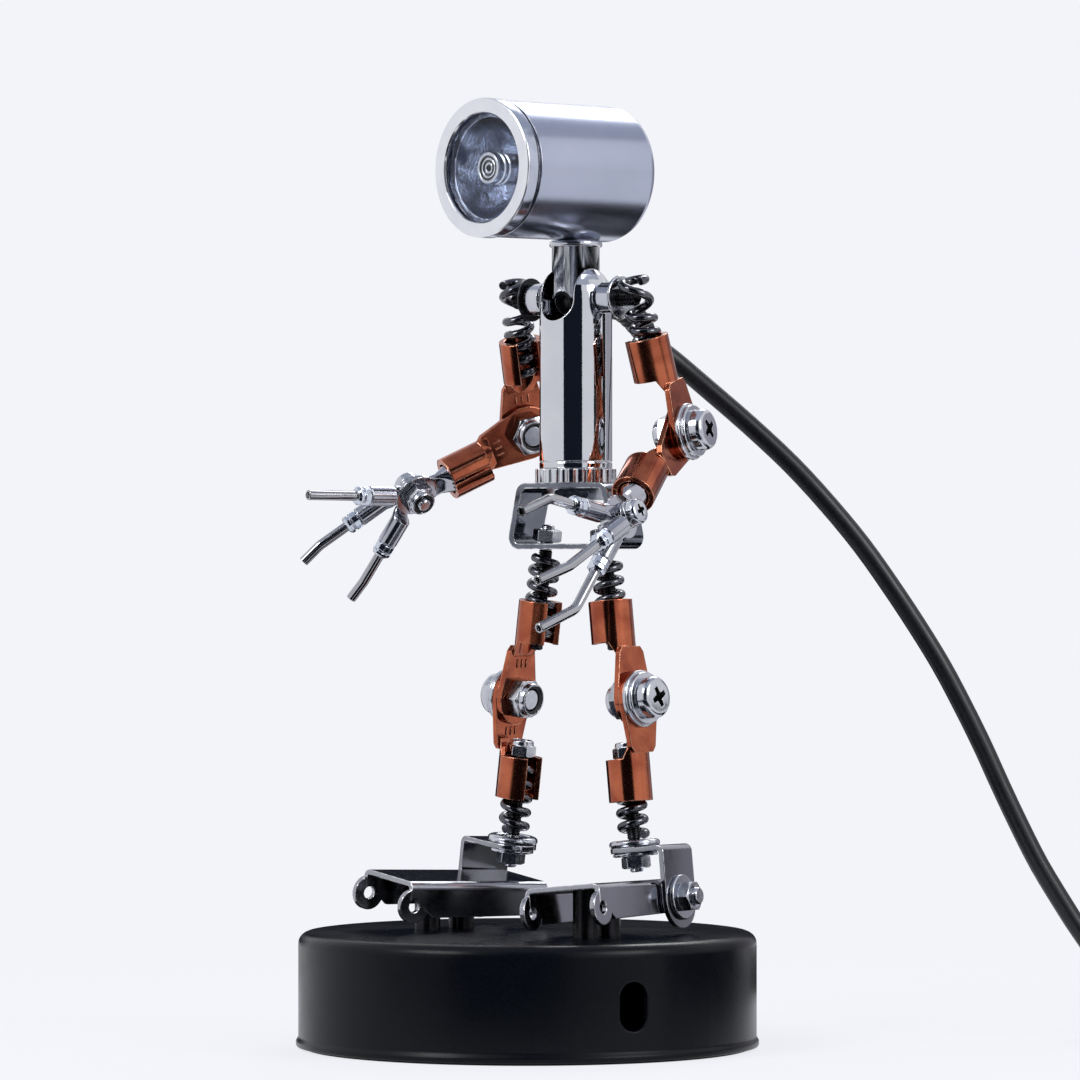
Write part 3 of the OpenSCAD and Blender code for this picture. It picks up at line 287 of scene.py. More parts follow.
class Effects:
    """Shader groups that several finishes share."""

    def __init__(self) -> None:
        """Builds each group once."""
        self.wear = self._wear()
        self.grain = self._grain()
        self.turned = self._turned()
        self.patches = self._patches()

    @staticmethod
    def _wear() -> bpy.types.NodeTree:
        """Rounded edges and a mask of where handling has polished them.

        Returns:
            The shader group.
        """
        group = node_group("edge_wear", {"Radius": 0.0002, "Spread": 1.0},
                           {"Mask": "NodeSocketFloat", "Normal": "NodeSocketVector"})
        wire = Wire(group)
        inlet = group.nodes["in"]
        round_edge = wire.node("ShaderNodeBevel", {"Radius": inlet.outputs["Radius"]}, samples=6)
        geometry = wire.node("ShaderNodeNewGeometry")
        dot = wire.node("ShaderNodeVectorMath", {0: round_edge.outputs[0], 1: geometry.outputs["Normal"]},
                        operation="DOT_PRODUCT")
        coords = wire.node("ShaderNodeTexCoord")
        broken = wire.node("ShaderNodeTexNoise",
                           {"Vector": coords.outputs["Object"], "Scale": 700.0, "Detail": 3.0})
        edge = wire.ramp(dot.outputs["Value"], 0.995, 0.9)
        mask = wire.math("MULTIPLY", edge, wire.ramp(broken.outputs["Fac"], 0.3, 0.62))
        mask = wire.math("MULTIPLY", mask, inlet.outputs["Spread"])
        group.links.new(mask, group.nodes["out"].inputs["Mask"])
        group.links.new(round_edge.outputs[0], group.nodes["out"].inputs["Normal"])
        return group

    @staticmethod
    def _grain() -> bpy.types.NodeTree:
        """Fine grain of a coat or a moulding: a height and a speckle.

        Returns:
            The shader group.
        """
        group = node_group("fine_grain", {"Scale": 2500.0, "Depth": 1.0},
                           {"Height": "NodeSocketFloat", "Speckle": "NodeSocketFloat"})
        wire = Wire(group)
        inlet = group.nodes["in"]
        coords = wire.node("ShaderNodeTexCoord")
        noise = wire.node("ShaderNodeTexNoise",
                          {"Vector": coords.outputs["Object"], "Scale": inlet.outputs["Scale"], "Detail": 2.0,
                           "Roughness": 0.6})
        height = wire.math("MULTIPLY", noise.outputs["Fac"], inlet.outputs["Depth"])
        group.links.new(height, group.nodes["out"].inputs["Height"])
        group.links.new(wire.ramp(noise.outputs["Fac"], 0.35, 0.65), group.nodes["out"].inputs["Speckle"])
        return group

    @staticmethod
    def _turned() -> bpy.types.NodeTree:
        """Fine lines of a lathe tool round the object's Z, X or Y, chosen by the three weights.

        Returns:
            The shader group.
        """
        group = node_group("turned_lines", {"X": 0.0, "Y": 0.0, "Z": 1.0, "Scale": 9000.0},
                           {"Lines": "NodeSocketFloat"})
        wire = Wire(group)
        inlet = group.nodes["in"]
        coords = wire.node("ShaderNodeTexCoord")
        split = wire.node("ShaderNodeSeparateXYZ", {0: coords.outputs["Object"]})
        along = wire.math("MULTIPLY", split.outputs["X"], inlet.outputs["X"])
        along = wire.math("ADD", along, wire.math("MULTIPLY", split.outputs["Y"], inlet.outputs["Y"]))
        along = wire.math("ADD", along, wire.math("MULTIPLY", split.outputs["Z"], inlet.outputs["Z"]))
        along = wire.math("MULTIPLY", along, inlet.outputs["Scale"])
        noise = wire.node("ShaderNodeTexNoise", {"W": along, "Scale": 1.0, "Detail": 4.0},
                          noise_dimensions="1D")
        group.links.new(wire.ramp(noise.outputs["Fac"], 0.3, 0.7), group.nodes["out"].inputs["Lines"])
        return group

    @staticmethod
    def _patches() -> bpy.types.NodeTree:
        """Soft patches where a metal has tarnished or been wiped, a large and a small size.

        Returns:
            The shader group.
        """
        group = node_group("patches", {"Scale": 120.0},
                           {"Large": "NodeSocketFloat", "Small": "NodeSocketFloat"})
        wire = Wire(group)
        inlet = group.nodes["in"]
        coords = wire.node("ShaderNodeTexCoord")
        large = wire.node("ShaderNodeTexNoise",
                          {"Vector": coords.outputs["Object"], "Scale": inlet.outputs["Scale"], "Detail": 3.0,
                           "Distortion": 0.4})
        fine = wire.math("MULTIPLY", inlet.outputs["Scale"], 9.0)
        small = wire.node("ShaderNodeTexNoise",
                          {"Vector": coords.outputs["Object"], "Scale": fine, "Detail": 4.0})
        group.links.new(wire.ramp(large.outputs["Fac"], 0.35, 0.65), group.nodes["out"].inputs["Large"])
        group.links.new(wire.ramp(small.outputs["Fac"], 0.35, 0.65), group.nodes["out"].inputs["Small"])
        return group


EFFECTS = Effects()


def blank(made: bpy.types.Material | bpy.types.World) -> Wire:
    """Empties the node tree of a material or a world.

    Args:
        made: The material or the world.

    Returns:
        A Wire on its tree.
    """
    made.use_nodes = True
    made.node_tree.nodes.clear()
    return Wire(made.node_tree)


def new_material(name: str) -> tuple[bpy.types.Material, Wire, bpy.types.Node]:
    """Makes a node material.

    Args:
        name: Name of the finish.

    Returns:
        The material, a Wire on its tree and its Principled node.
    """
    material = bpy.data.materials.new(name)
    wire = blank(material)
    shader = wire.node("ShaderNodeBsdfPrincipled")
    wire.node("ShaderNodeOutputMaterial", {"Surface": shader.outputs[0]})
    return material, wire, shader


def place(made: bpy.types.Object) -> None:
    """Puts an object into the scene."""
    bpy.context.scene.collection.objects.link(made)


def effect(wire: Wire, group: bpy.types.NodeTree, **values: float) -> bpy.types.Node:
    """Places a shader group in a material.

    Args:
        wire: The material's tree.
        group: The group to place.
        **values: Input name to value.

    Returns:
        The group node.
    """
    made = wire.tree.nodes.new("ShaderNodeGroup")
    made.node_tree = group
    for key, value in values.items():
        made.inputs[key].default_value = value
    return made


@dataclass(frozen=True)
class Metal:
    """A bare or plated metal.

    The colour moves between body and tarnish in patches, and towards bright along worn edges.

    Attributes:
        name: Name of the finish.
        body: Colour of most of it.
        tarnish: Colour of its dull patches.
        bright: Colour of its worn edges.
        smooth: Lowest roughness.
        rough: Highest roughness.
        edge: Radius of the worn edges, in metres.
        patch: How fine the patches are.
        bump: Depth of the fine relief.
        lines: Weights of the object's X, Y and Z in lathe lines, or None where it has none.
    """

    name: str
    body: Colour
    tarnish: Colour
    bright: Colour
    smooth: float
    rough: float
    edge: float = 0.0002
    patch: float = 120.0
    bump: float = 0.02
    lines: Point | None = None

    def build(self) -> bpy.types.Material:
        """Makes the material.

        Returns:
            The material.
        """
        material, wire, shader = new_material(self.name)
        patches = effect(wire, EFFECTS.patches, Scale=self.patch)
        wear = effect(wire, EFFECTS.wear, Radius=self.edge, Spread=1.0)
        colour = wire.mix(patches.outputs["Large"], self.body, self.tarnish)
        colour = wire.mix(wear.outputs["Mask"], colour, self.bright)
        roughness = wire.ramp(patches.outputs["Small"], 0.0, 1.0, (self.smooth, self.rough))
        height = patches.outputs["Small"]
        if self.lines:
            x, y, z = self.lines
            turned = effect(wire, EFFECTS.turned, X=x, Y=y, Z=z, Scale=9000.0)
            height = turned.outputs["Lines"]
            roughness = wire.ramp(turned.outputs["Lines"], 0.0, 1.0, (self.smooth, self.rough))
        bump = wire.node("ShaderNodeBump", {"Height": height, "Strength": self.bump, "Distance": 0.0002,
                                            "Normal": wear.outputs["Normal"]})
        shader.inputs["Metallic"].default_value = 1.0
        wire.feed(shader, colour, roughness, bump.outputs[0])
        return material


@dataclass(frozen=True)
class Coat:
    """A paint, a plastic or a rubber with a fine grain and paler worn edges.

    Attributes:
        name: Name of the finish.
        body: Colour of most of it.
        worn: Colour of its speckles and worn edges.
        smooth: Lowest roughness.
        rough: Highest roughness.
        grain: How fine the grain is.
        bump: Depth of the grain.
        edge: Radius of the worn edges, in metres.
        shine: Strength of its mirror part.
        speckle: Share of the worn colour in the grain.
    """

    name: str
    body: Colour
    worn: Colour
    smooth: float
    rough: float
    grain: float = 2500.0
    bump: float = 0.15
    edge: float = 0.0003
    shine: float = 0.5
    speckle: float = 0.35

    def build(self) -> bpy.types.Material:
        """Makes the material.

        Returns:
            The material.
        """
        material, wire, shader = new_material(self.name)
        grain = effect(wire, EFFECTS.grain, Scale=self.grain, Depth=1.0)
        patches = effect(wire, EFFECTS.patches, Scale=60.0)
        wear = effect(wire, EFFECTS.wear, Radius=self.edge, Spread=0.6)
        amount = wire.math("MULTIPLY", grain.outputs["Speckle"], self.speckle)
        speckled = wire.mix(amount, self.body, self.worn)
        colour = wire.mix(wear.outputs["Mask"], speckled, self.worn)
        roughness = wire.ramp(patches.outputs["Large"], 0.0, 1.0, (self.smooth, self.rough))
        bump = wire.node("ShaderNodeBump", {"Height": grain.outputs["Height"], "Strength": self.bump,
                                            "Distance": 0.0001, "Normal": wear.outputs["Normal"]})
        shader.inputs["Specular IOR Level"].default_value = self.shine
        wire.feed(shader, colour, roughness, bump.outputs[0])
        return material


@dataclass(frozen=True)
class Clear:
    """Clear glass or acrylic.

    Attributes:
        name: Name of the finish.
        tint: Its colour.
        ior: How strongly it bends and mirrors light.
        rough: Its roughness.
    """

    name: str
    tint: Colour
    ior: float = 1.49
    rough: float = 0.0

    def build(self) -> bpy.types.Material:
        """Makes the material.

        Returns:
            The material.
        """
        material, wire, shader = new_material(self.name)
        grain = effect(wire, EFFECTS.grain, Scale=300.0, Depth=1.0)
        bump = wire.node("ShaderNodeBump",
                         {"Height": grain.outputs["Height"], "Strength": 0.01, "Distance": 0.0001})
        shader.inputs["Base Color"].default_value = self.tint
        shader.inputs["Transmission Weight"].default_value = 1.0
        shader.inputs["IOR"].default_value = self.ior
        shader.inputs["Roughness"].default_value = self.rough
        wire.tree.links.new(bump.outputs[0], shader.inputs["Normal"])
        return material


POLISHED: Colour = (0.95, 0.95, 0.97, 1)
UPRIGHT: Point = (0.0, 0.0, 1.0)
HEAD_AXIS: Point = (-0.146, -0.989, 0.0)
FINISHES = {
    made.name: made.build() for made in (
        Coat("black_powder_coat", body=(0.0012, 0.0018, 0.0034, 1), worn=(0.004, 0.006, 0.010, 1),
             smooth=0.24, rough=0.32, grain=1800.0, bump=0.06, edge=0.0006, shine=0.14),
        Coat("foam_pad", body=(0.02, 0.02, 0.02, 1), worn=(0.05, 0.05, 0.05, 1), smooth=0.85, rough=0.95,
             grain=1200.0, bump=0.6),
        Metal("weight_iron", body=(0.28, 0.28, 0.29, 1), tarnish=(0.2, 0.19, 0.18, 1),
              bright=(0.5, 0.5, 0.5, 1), smooth=0.45, rough=0.6),
        Metal("foot_nickel", body=(0.36, 0.365, 0.40, 1), tarnish=(0.32, 0.325, 0.36, 1),
              bright=POLISHED, smooth=0.11, rough=0.14, edge=0.0004, patch=60.0, bump=0.006),
        Metal("bracket_nickel", body=(0.30, 0.305, 0.335, 1), tarnish=(0.26, 0.265, 0.295, 1),
              bright=POLISHED, smooth=0.12, rough=0.15, edge=0.0004, patch=60.0, bump=0.006),
        Metal("spring_steel", body=(0.13, 0.13, 0.145, 1), tarnish=(0.09, 0.09, 0.105, 1),
              bright=(0.5, 0.5, 0.53, 1), smooth=0.10, rough=0.16, edge=0.0001),
        Metal("copper_satin", body=(0.47, 0.135, 0.068, 1), tarnish=(0.29, 0.068, 0.036, 1),
              bright=(0.98, 0.50, 0.32, 1), smooth=0.13, rough=0.17, edge=0.00035, patch=160.0, bump=0.0),
        Metal("tin_plate", body=(0.46, 0.465, 0.51, 1), tarnish=(0.36, 0.365, 0.41, 1),
              bright=POLISHED, smooth=0.11, rough=0.16, bump=0.004),
        Metal("finger_steel", body=(0.44, 0.44, 0.46, 1), tarnish=(0.38, 0.38, 0.40, 1),
              bright=(0.6, 0.6, 0.62, 1), smooth=0.08, rough=0.11, edge=0.00005, patch=40.0, bump=0.0),
        Metal("collar_steel", body=(0.62, 0.66, 0.74, 1), tarnish=(0.55, 0.59, 0.67, 1),
              bright=(0.95, 0.97, 1, 1), smooth=0.06, rough=0.12, bump=0.008),
        Metal("zinc_plate", body=(0.58, 0.59, 0.63, 1), tarnish=(0.48, 0.50, 0.55, 1),
              bright=POLISHED, smooth=0.12, rough=0.2, bump=0.01),
        # Painted shade: a dark steel colour for the sunk faces of the cross recesses, where shade falls.
        Metal("recess_painted_shade", body=(0.12, 0.12, 0.13, 1), tarnish=(0.08, 0.08, 0.09, 1),
              bright=(0.2, 0.2, 0.2, 1), smooth=0.3, rough=0.4),
        # Near-black steel: the foot spacers' colour, and painted shade on the rods inside the springs, the
        # shoulder axle, the right shoulder's washer, the bezel's groove, the tray post's grooves and the
        # neck's recesses.
        Metal("dark_steel_and_painted_shade", body=(0.035, 0.035, 0.04, 1), tarnish=(0.025, 0.025, 0.028, 1),
              bright=(0.10, 0.10, 0.11, 1), smooth=0.22, rough=0.3, edge=0.0001),
        Metal("pelvis_steel", body=(0.17, 0.18, 0.21, 1), tarnish=(0.12, 0.13, 0.16, 1),
              bright=(1, 1, 1, 1), smooth=0.07, rough=0.12, edge=0.0005, bump=0.004),
        Metal("chrome", body=(0.62, 0.63, 0.66, 1), tarnish=(0.58, 0.59, 0.63, 1),
              bright=POLISHED, smooth=0.03, rough=0.055, edge=0.0003, bump=0.006),
        Metal("neck_turned", body=(0.60, 0.61, 0.64, 1), tarnish=(0.5, 0.51, 0.54, 1),
              bright=POLISHED, smooth=0.1, rough=0.2, lines=UPRIGHT),
        Metal("head_anodised", body=(0.44, 0.47, 0.58, 1), tarnish=(0.41, 0.44, 0.545, 1),
              bright=(0.85, 0.87, 0.92, 1), smooth=0.2, rough=0.25, edge=0.0003, patch=60.0, bump=0.012,
              lines=HEAD_AXIS),
        Metal("bezel_turned", body=(0.80, 0.81, 0.84, 1), tarnish=(0.74, 0.75, 0.79, 1),
              bright=(1, 1, 1, 1), smooth=0.10, rough=0.18, bump=0.01, lines=HEAD_AXIS),
        # Painted shade: darker copies of the turned bezel metal, for the ring's side and for the inside of
        # its opening.
        Metal("bezel_side_painted_shade", body=(0.50, 0.53, 0.62, 1), tarnish=(0.42, 0.45, 0.54, 1),
              bright=(0.9, 0.9, 0.93, 1), smooth=0.12, rough=0.2, bump=0.01, lines=HEAD_AXIS),
        Metal("bezel_inner_painted_shade", body=(0.30, 0.31, 0.35, 1), tarnish=(0.22, 0.23, 0.26, 1),
              bright=(1, 1, 1, 1), smooth=0.08, rough=0.14, edge=0.0003, bump=0.004, lines=HEAD_AXIS),
        Metal("reflector", body=(0.52, 0.58, 0.74, 1), tarnish=(0.02, 0.03, 0.07, 1),
              bright=(0.9, 0.92, 1, 1), smooth=0.04, rough=0.08, patch=230.0, bump=0.6),
        Coat("led_board", body=(0.7, 0.71, 0.72, 1), worn=(0.8, 0.8, 0.8, 1), smooth=0.4, rough=0.5),
        Coat("phosphor", body=(0.75, 0.6, 0.12, 1), worn=(0.8, 0.7, 0.3, 1), smooth=0.4, rough=0.5),
        Clear("lens_glass", tint=(0.96, 0.98, 1.0, 1), ior=1.2),
        Coat("cord_pvc", body=(0.0025, 0.003, 0.005, 1), worn=(0.010, 0.012, 0.017, 1), smooth=0.28,
             rough=0.38, grain=1500.0, bump=0.08, edge=0.0001, shine=0.4),
        Coat("tie_nylon", body=(0.012, 0.012, 0.013, 1), worn=(0.03, 0.03, 0.03, 1), smooth=0.4,
             rough=0.5),
        Coat("nut_nylon", body=(0.012, 0.012, 0.014, 1), worn=(0.03, 0.03, 0.033, 1), smooth=0.3,
             rough=0.4),
    )
}


# -------- mesh making

def around(count: int) -> list[float]:
    """Angles of equal steps round a circle, in radians."""
    return [2 * math.pi * k / count for k in range(count)]


def circle(radius: float, z: float, count: int) -> list[Point]:
    """Points of a circle about Z."""
    return [(radius * math.cos(a), radius * math.sin(a), z) for a in around(count)]


def soft_oval(half_x: float, half_y: float, power: float, angles: Sequence[float]) -> list[Flat]:
    """Oval that grows square as its power falls from 1.

    Args:
        half_x: Half its width.
        half_y: Half its height.
        power: 1 for an ellipse, near 0 for a rectangle.
        angles: Angles of its points, in radians.

    Returns:
        Its points.
    """
    points = []
    for a in angles:
        c, s = math.cos(a), math.sin(a)
        x, y = half_x * math.copysign(abs(c) ** power, c), half_y * math.copysign(abs(s) ** power, s)
        points.append((x, y))
    return points


def rounded_box(half_w: float, half_h: float, corner: float, steps: int) -> list[Flat]:
    """Rectangle with round corners, anticlockwise.

    Args:
        half_w: Half its width.
        half_h: Half its height.
        corner: Radius of the corners.
        steps: Steps round each corner.

    Returns:
        Its points.
    """
    corner = min(corner, half_w, half_h)
    points = []
    for quarter, (x_sign, y_sign) in enumerate(((1, 1), (-1, 1), (-1, -1), (1, -1))):
        for k in range(steps + 1):
            a = math.radians(90 * (quarter + k / steps))
            x, y = x_sign * (half_w - corner), y_sign * (half_h - corner)
            points.append((x + corner * math.cos(a), y + corner * math.sin(a)))
    return points


class Shape:
    """A mesh under construction, in millimetres, with a material number for each face."""

    def __init__(self) -> None:
        """Starts empty."""
        self.corners: list[Vector] = []
        self.faces: list[tuple[int, ...]] = []
        self.paints: list[int] = []

    def add(self, corners: Sequence[Corner], faces: Sequence[tuple[int, ...]], at: Matrix,
            paint: int | Sequence[int] = 0) -> None:
        """Adds corners and faces that are given in a local frame.

        Args:
            corners: Points of the new part.
            faces: Tuples of numbers into corners, anticlockwise from outside.
            at: The local frame.
            paint: Material number, or one for each face.
        """
        start = len(self.corners)
        self.corners += [at @ Vector(c) for c in corners]
        flipped = at.to_3x3().determinant() < 0
        for face in faces:
            order = tuple(start + i for i in face)
            self.faces.append(order[::-1] if flipped else order)
        self.paints += [paint] * len(faces) if isinstance(paint, int) else list(paint)

    def rings(self, loops: Sequence[Sequence[Corner]], at: Matrix, paint: int = 0,
              cap: tuple[bool, bool] = (True, True), closed: bool = False) -> None:
        """Joins loops of equally many points into a skin.

        Args:
            loops: The loops in order.
            at: The local frame.
            paint: Material number.
            cap: Whether the first and the last loop are closed by a face.
            closed: Whether the last loop joins on to the first.
        """
        count = len(loops[0])
        faces = []
        for i in range(len(loops) if closed else len(loops) - 1):
            low, high = i * count, ((i + 1) % len(loops)) * count
            for k in range(count):
                after = (k + 1) % count
                faces.append((low + k, low + after, high + after, high + k))
        if cap[0] and not closed:
            faces.append(tuple(range(count - 1, -1, -1)))
        if cap[1] and not closed:
            faces.append(tuple(range((len(loops) - 1) * count, len(loops) * count)))
        self.add([p for loop in loops for p in loop], faces, at, paint)

    def revolve(self, outline: Sequence[Flat], at: Matrix, paint: int = 0, segments: int = 48,
                closed: bool = True) -> None:
        """Turns an outline of radius and height about +Z.

        Args:
            outline: Points (radius, height), anticlockwise in the radius and height plane.
            at: The local frame.
            paint: Material number.
            segments: Steps round the axis.
            closed: Whether the outline closes on itself, as a washer's does; an open one is capped.
        """
        self.rings([circle(r, z, segments) for r, z in outline], at, paint, closed=closed)

    def tube(self, path: Sequence[Corner], radius: float | list[float], at: Matrix, paint: int = 0,
             sides: int = 12) -> None:
        """Sweeps a circle along a path with no twist.

        Args:
            path: Points of the centreline.
            radius: One radius, or one for each point.
            at: The local frame.
            paint: Material number.
            sides: Corners of the circle.
        """
        points = [Vector(p) for p in path]
        radii = radius if isinstance(radius, list) else [radius] * len(points)
        last = len(points) - 1
        ways = [(points[min(i + 1, last)] - points[max(i - 1, 0)]).normalized() for i in range(len(points))]
        across = ways[0].orthogonal().normalized()
        loops = []
        for centre, way, r in zip(points, ways, radii):
            across = (across - across.dot(way) * way).normalized()
            other = way.cross(across)
            loops.append([centre + r * (math.cos(a) * across + math.sin(a) * other) for a in around(sides)])
        self.rings(loops, at, paint)

    def build(self, name: str, finishes: Sequence[str], body: str, sharp: float = 35.0,
              bevel: float = 0.0) -> bpy.types.Object:
        """Makes the Blender object and lets it ride on a body.

        Args:
            name: Name of the piece.
            finishes: Names of its finishes, in the order of the material numbers.
            body: The CAD body that carries it.
            sharp: Edges over this angle stay sharp, in degrees.
            bevel: Width of a rounded edge in millimetres, or 0 for none.

        Returns:
            The object.
        """
        mesh = bpy.data.meshes.new(name)
        mesh.from_pydata([c * MM for c in self.corners], [], self.faces)
        for finish in finishes:
            mesh.materials.append(FINISHES[finish])
        mesh.polygons.foreach_set("material_index", self.paints)
        mesh.polygons.foreach_set("use_smooth", [True] * len(self.paints))
        mesh.validate()
        mesh.set_sharp_from_angle(angle=math.radians(sharp))
        made = bpy.data.objects.new(name, mesh)
        place(made)
        if bevel:
            rounded = made.modifiers.new("soft_edges", "BEVEL")
            rounded.width, rounded.segments = bevel * MM, 2
            rounded.limit_method, rounded.angle_limit = "ANGLE", math.radians(40)
            rounded.harden_normals = True
        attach(made, body)
        LOG.info("%s: %d faces on %s", name, len(self.faces), body)
        return made


def smooth_path(points: Sequence[Corner], steps: int) -> list[Vector]:
    """Runs a smooth curve through points.

    Args:
        points: The points to pass through.
        steps: Pieces between each two of them.

    Returns:
        Points along the curve, with the given ones among them.
    """
    given = [Vector(p) for p in points]
    padded = [2 * given[0] - given[1], *given, 2 * given[-1] - given[-2]]
    curve = []
    for i in range(1, len(padded) - 2):
        a, b, c, d = padded[i - 1:i + 3]
        for k in range(steps):
            t = k / steps
            curve.append(0.5 * (2 * b + (c - a) * t + (2 * a - 5 * b + 4 * c - d) * t * t
                                + (3 * b - a - 3 * c + d) * t ** 3))
    return [*curve, given[-1]]


# -------- cord

@dataclass
class Cord:
    """Power lead with its boot, coil, tie and USB plug, in millimetres.

    Attributes:
        diameter: Outside of the lead.
        coil_centre: Middle of the coil on the desk.
        coil_outer: Radius of the coil's widest turn.
        start_angle: Direction from the middle to where the lead joins the coil, in degrees.
        turns_in: Turns wound inwards on the desk, and outwards on top.
        turns_up: Part of a turn in which the lead climbs on to itself.
        plug_turn: Direction of the plug, in degrees.
        plug_z: Height of the plug's middle.
        tie_turn: Direction of the tie from the coil's middle, in degrees.
        tie_at: Distance of the tie from the coil's middle.
        tie_z: Height of the tie's middle.
        tie_half: Half the tie's width and height outside.
        tie_inside: Half its width and height inside.
        strap_half: Half the width of its strap.
        boot: Middle line of the boot, in the robot's frame.
        lead: Middle line from the boot to the coil.
        tail: Middle line from the coil to the plug.
    """

    diameter: float = 4.4
    coil_centre: Flat = (125.0, 99.5)
    coil_outer: float = 31.6
    start_angle: float = 129.0
    turns_in: float = 3.0
    turns_up: float = 0.25
    plug_turn: float = -140.0
    plug_z: float = 4.2
    tie_turn: float = -60.0
    tie_at: float = 24.45
    tie_z: float = 4.75
    tie_half: Flat = (8.0, 4.7)
    tie_inside: Flat = (7.4, 4.15)
    strap_half: float = 1.5
    boot: tuple[Point, ...] = (
        (0, 8.9, 161.4), (0, 12.5, 161.4), (0, 16, 160.8), (0, 19.2, 159.2), (0, 22.2, 157), (0, 24.6, 154.9))
    lead: tuple[Point, ...] = (
        (4, 36.3, 154.9), (4.6, 39.8, 152), (6.8, 43.6, 148.8), (11.2, 47.7, 143.7), (19.1, 54.1, 134.9),
        (26.4, 60, 126.1), (32.8, 65.1, 117.2), (38.4, 69.7, 108.4), (43.3, 73.6, 99.6), (47.9, 77.3, 90.7),
        (52.1, 80.7, 81.9), (55.7, 83.7, 73.1), (59.1, 86.5, 64.2), (62.2, 89, 55.4), (65.5, 91.6, 46.5),
        (69, 94.4, 37.7), (73.1, 97.8, 28.9), (75.9, 100, 23.4), (80.6, 103.8, 15), (86, 108.2, 8),
        (91.4, 112.6, 4), (98, 118, 2.2))
    tail: tuple[Point, ...] = (
        (149.6, 119.4, 6.6), (154, 113.9, 6.6), (158.4, 108.5, 6.3), (162.8, 103.1, 5.7), (166.8, 98, 5.1),
        (170, 92.4, 4.6), (171.6, 86.2, 4.3), (171.2, 79.8, 4.2), (168.4, 74, 4.2), (164, 70, 4.2))

    def coil_path(self) -> list[Vector]:
        """Winds inwards on the desk, climbs by one diameter and winds outwards on top.

        Returns:
            Points of the coil's middle line.
        """
        steps = 32
        total = 2 * self.turns_in + self.turns_up
        low, high = self.diameter / 2, 1.5 * self.diameter
        path = []
        for i in range(round(total * steps) + 1):
            t = i / steps
            climb = min(max((t - self.turns_in) / self.turns_up, 0), 1)
            inward = min(t, self.turns_in)
            outward = max(t - self.turns_in - self.turns_up, 0)
            radius = self.coil_outer - self.diameter * (inward - outward)
            angle = math.radians(self.start_angle - 360 * t)
            x = self.coil_centre[0] + radius * math.cos(angle)
            y = self.coil_centre[1] + radius * math.sin(angle)
            path.append(Vector((x, y, low + (high - low) * climb)))
        return path

    def path(self) -> list[Vector]:
        """Joins lead, coil and tail, none of them lower than the desk lets it lie.

        Returns:
            Points of the middle line from the boot to the plug.
        """
        coil = self.coil_path()
        lead = smooth_path([*self.lead, coil[0]], 3)
        tail = smooth_path([coil[-1], *self.tail[1:]], 3)
        rest = self.diameter / 2
        return [Vector((p.x, p.y, max(p.z, rest))) for p in (*lead[:-1], *coil, *tail[1:])]

    def plug(self) -> bpy.types.Object:
        """Makes the USB-A plug: moulded grip with ribs, metal shell with two windows, white tongue.

        Returns:
            The plug.
        """
        shape = Shape()
        at = move(self.tail[-1][0], self.tail[-1][1], self.plug_z) @ turn("Z", self.plug_turn)
        along = at @ turn("Y", 90)
        ribs, rib_depth, relief_length = 12, 0.35, 5.6
        relief = []
        for i in range(ribs):
            u = i / (ribs - 1)
            r = (self.diameter + 0.9 + 1.7 * u) / 2 - (rib_depth if i % 2 else 0)
            relief.append((r, relief_length * u))
        shape.revolve([(AXIS_R, 0), *relief, (AXIS_R, 6)], along, 0, 32, closed=False)
        full, slim = (7.4, 4.15), (7.1, 3.9)
        grip = ((5.2, (6.2, 3.2)), (5.5, (6.9, 3.8)), (6.3, full), (12.6, full), (12.9, slim), (13.3, slim),
                (13.6, full), (14.4, full), (14.7, slim), (15.1, slim), (15.4, full), (19.6, full),
                (20.3, slim), (20.5, (6.4, 3.2)))
        shape.rings([[(x, y, z) for y, z in rounded_box(*half, 2.0, 5)] for x, half in grip], at)
        outside, inside = (6.0, 2.25), (5.7, 1.95)
        shell = ((20.2, outside), (31.8, outside), (32.0, (5.9, 2.15)), (32.0, inside), (21.0, inside))
        shape.rings([[(x, y, z) for y, z in rounded_box(*half, 0.5, 3)] for x, half in shell], at, 1)
        tongue = [[(x, y, z) for y, z in rounded_box(5.6, 0.85, 0.2, 2)] for x in (21.0, 31.0)]
        shape.rings(tongue, at @ move(0, 0, -1.05), 2)
        # The two windows are thin black patches on the shell: painted shade where the holes would be.
        for y in (-2.6, 2.6):
            window = [[(u, v, z) for u, v in rounded_box(1.15, 1.15, 0.15, 2)] for z in (2.2, 2.27)]
            shape.rings(window, at @ move(26.5, y, 0), 3)
        finishes = ["cord_pvc", "zinc_plate", "led_board", "tie_nylon"]
        plug = shape.build("usb_plug_dressed", finishes, "root", bevel=0.12)
        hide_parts("usb_plug")
        return plug

    def cable_tie(self) -> bpy.types.Object:
        """Makes the cable tie with its locking head round the coil.

        Returns:
            The tie.
        """
        shape = Shape()
        at = move(*self.coil_centre, 0) @ turn("Z", self.tie_turn) @ move(self.tie_at, 0, 0)
        outer = rounded_box(*self.tie_half, 2.6, 6)
        inner = rounded_box(*self.tie_inside, 2.2, 6)
        half = self.strap_half
        loops = []
        for y, outline in ((-half, outer), (half, outer), (half, inner), (-half, inner)):
            loops.append([(x, y, z + self.tie_z) for x, z in outline])
        shape.rings(loops, at, closed=True)
        lock = [[(x - 4, y, z) for x, y in rounded_box(2.2, 2.0, 0.4, 2)] for z in (9.2, 9.68)]
        shape.rings(lock, at)
        tie = shape.build("cord_tie_dressed", ["tie_nylon"], "root", bevel=0.15)
        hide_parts("cord_tie")
        return tie

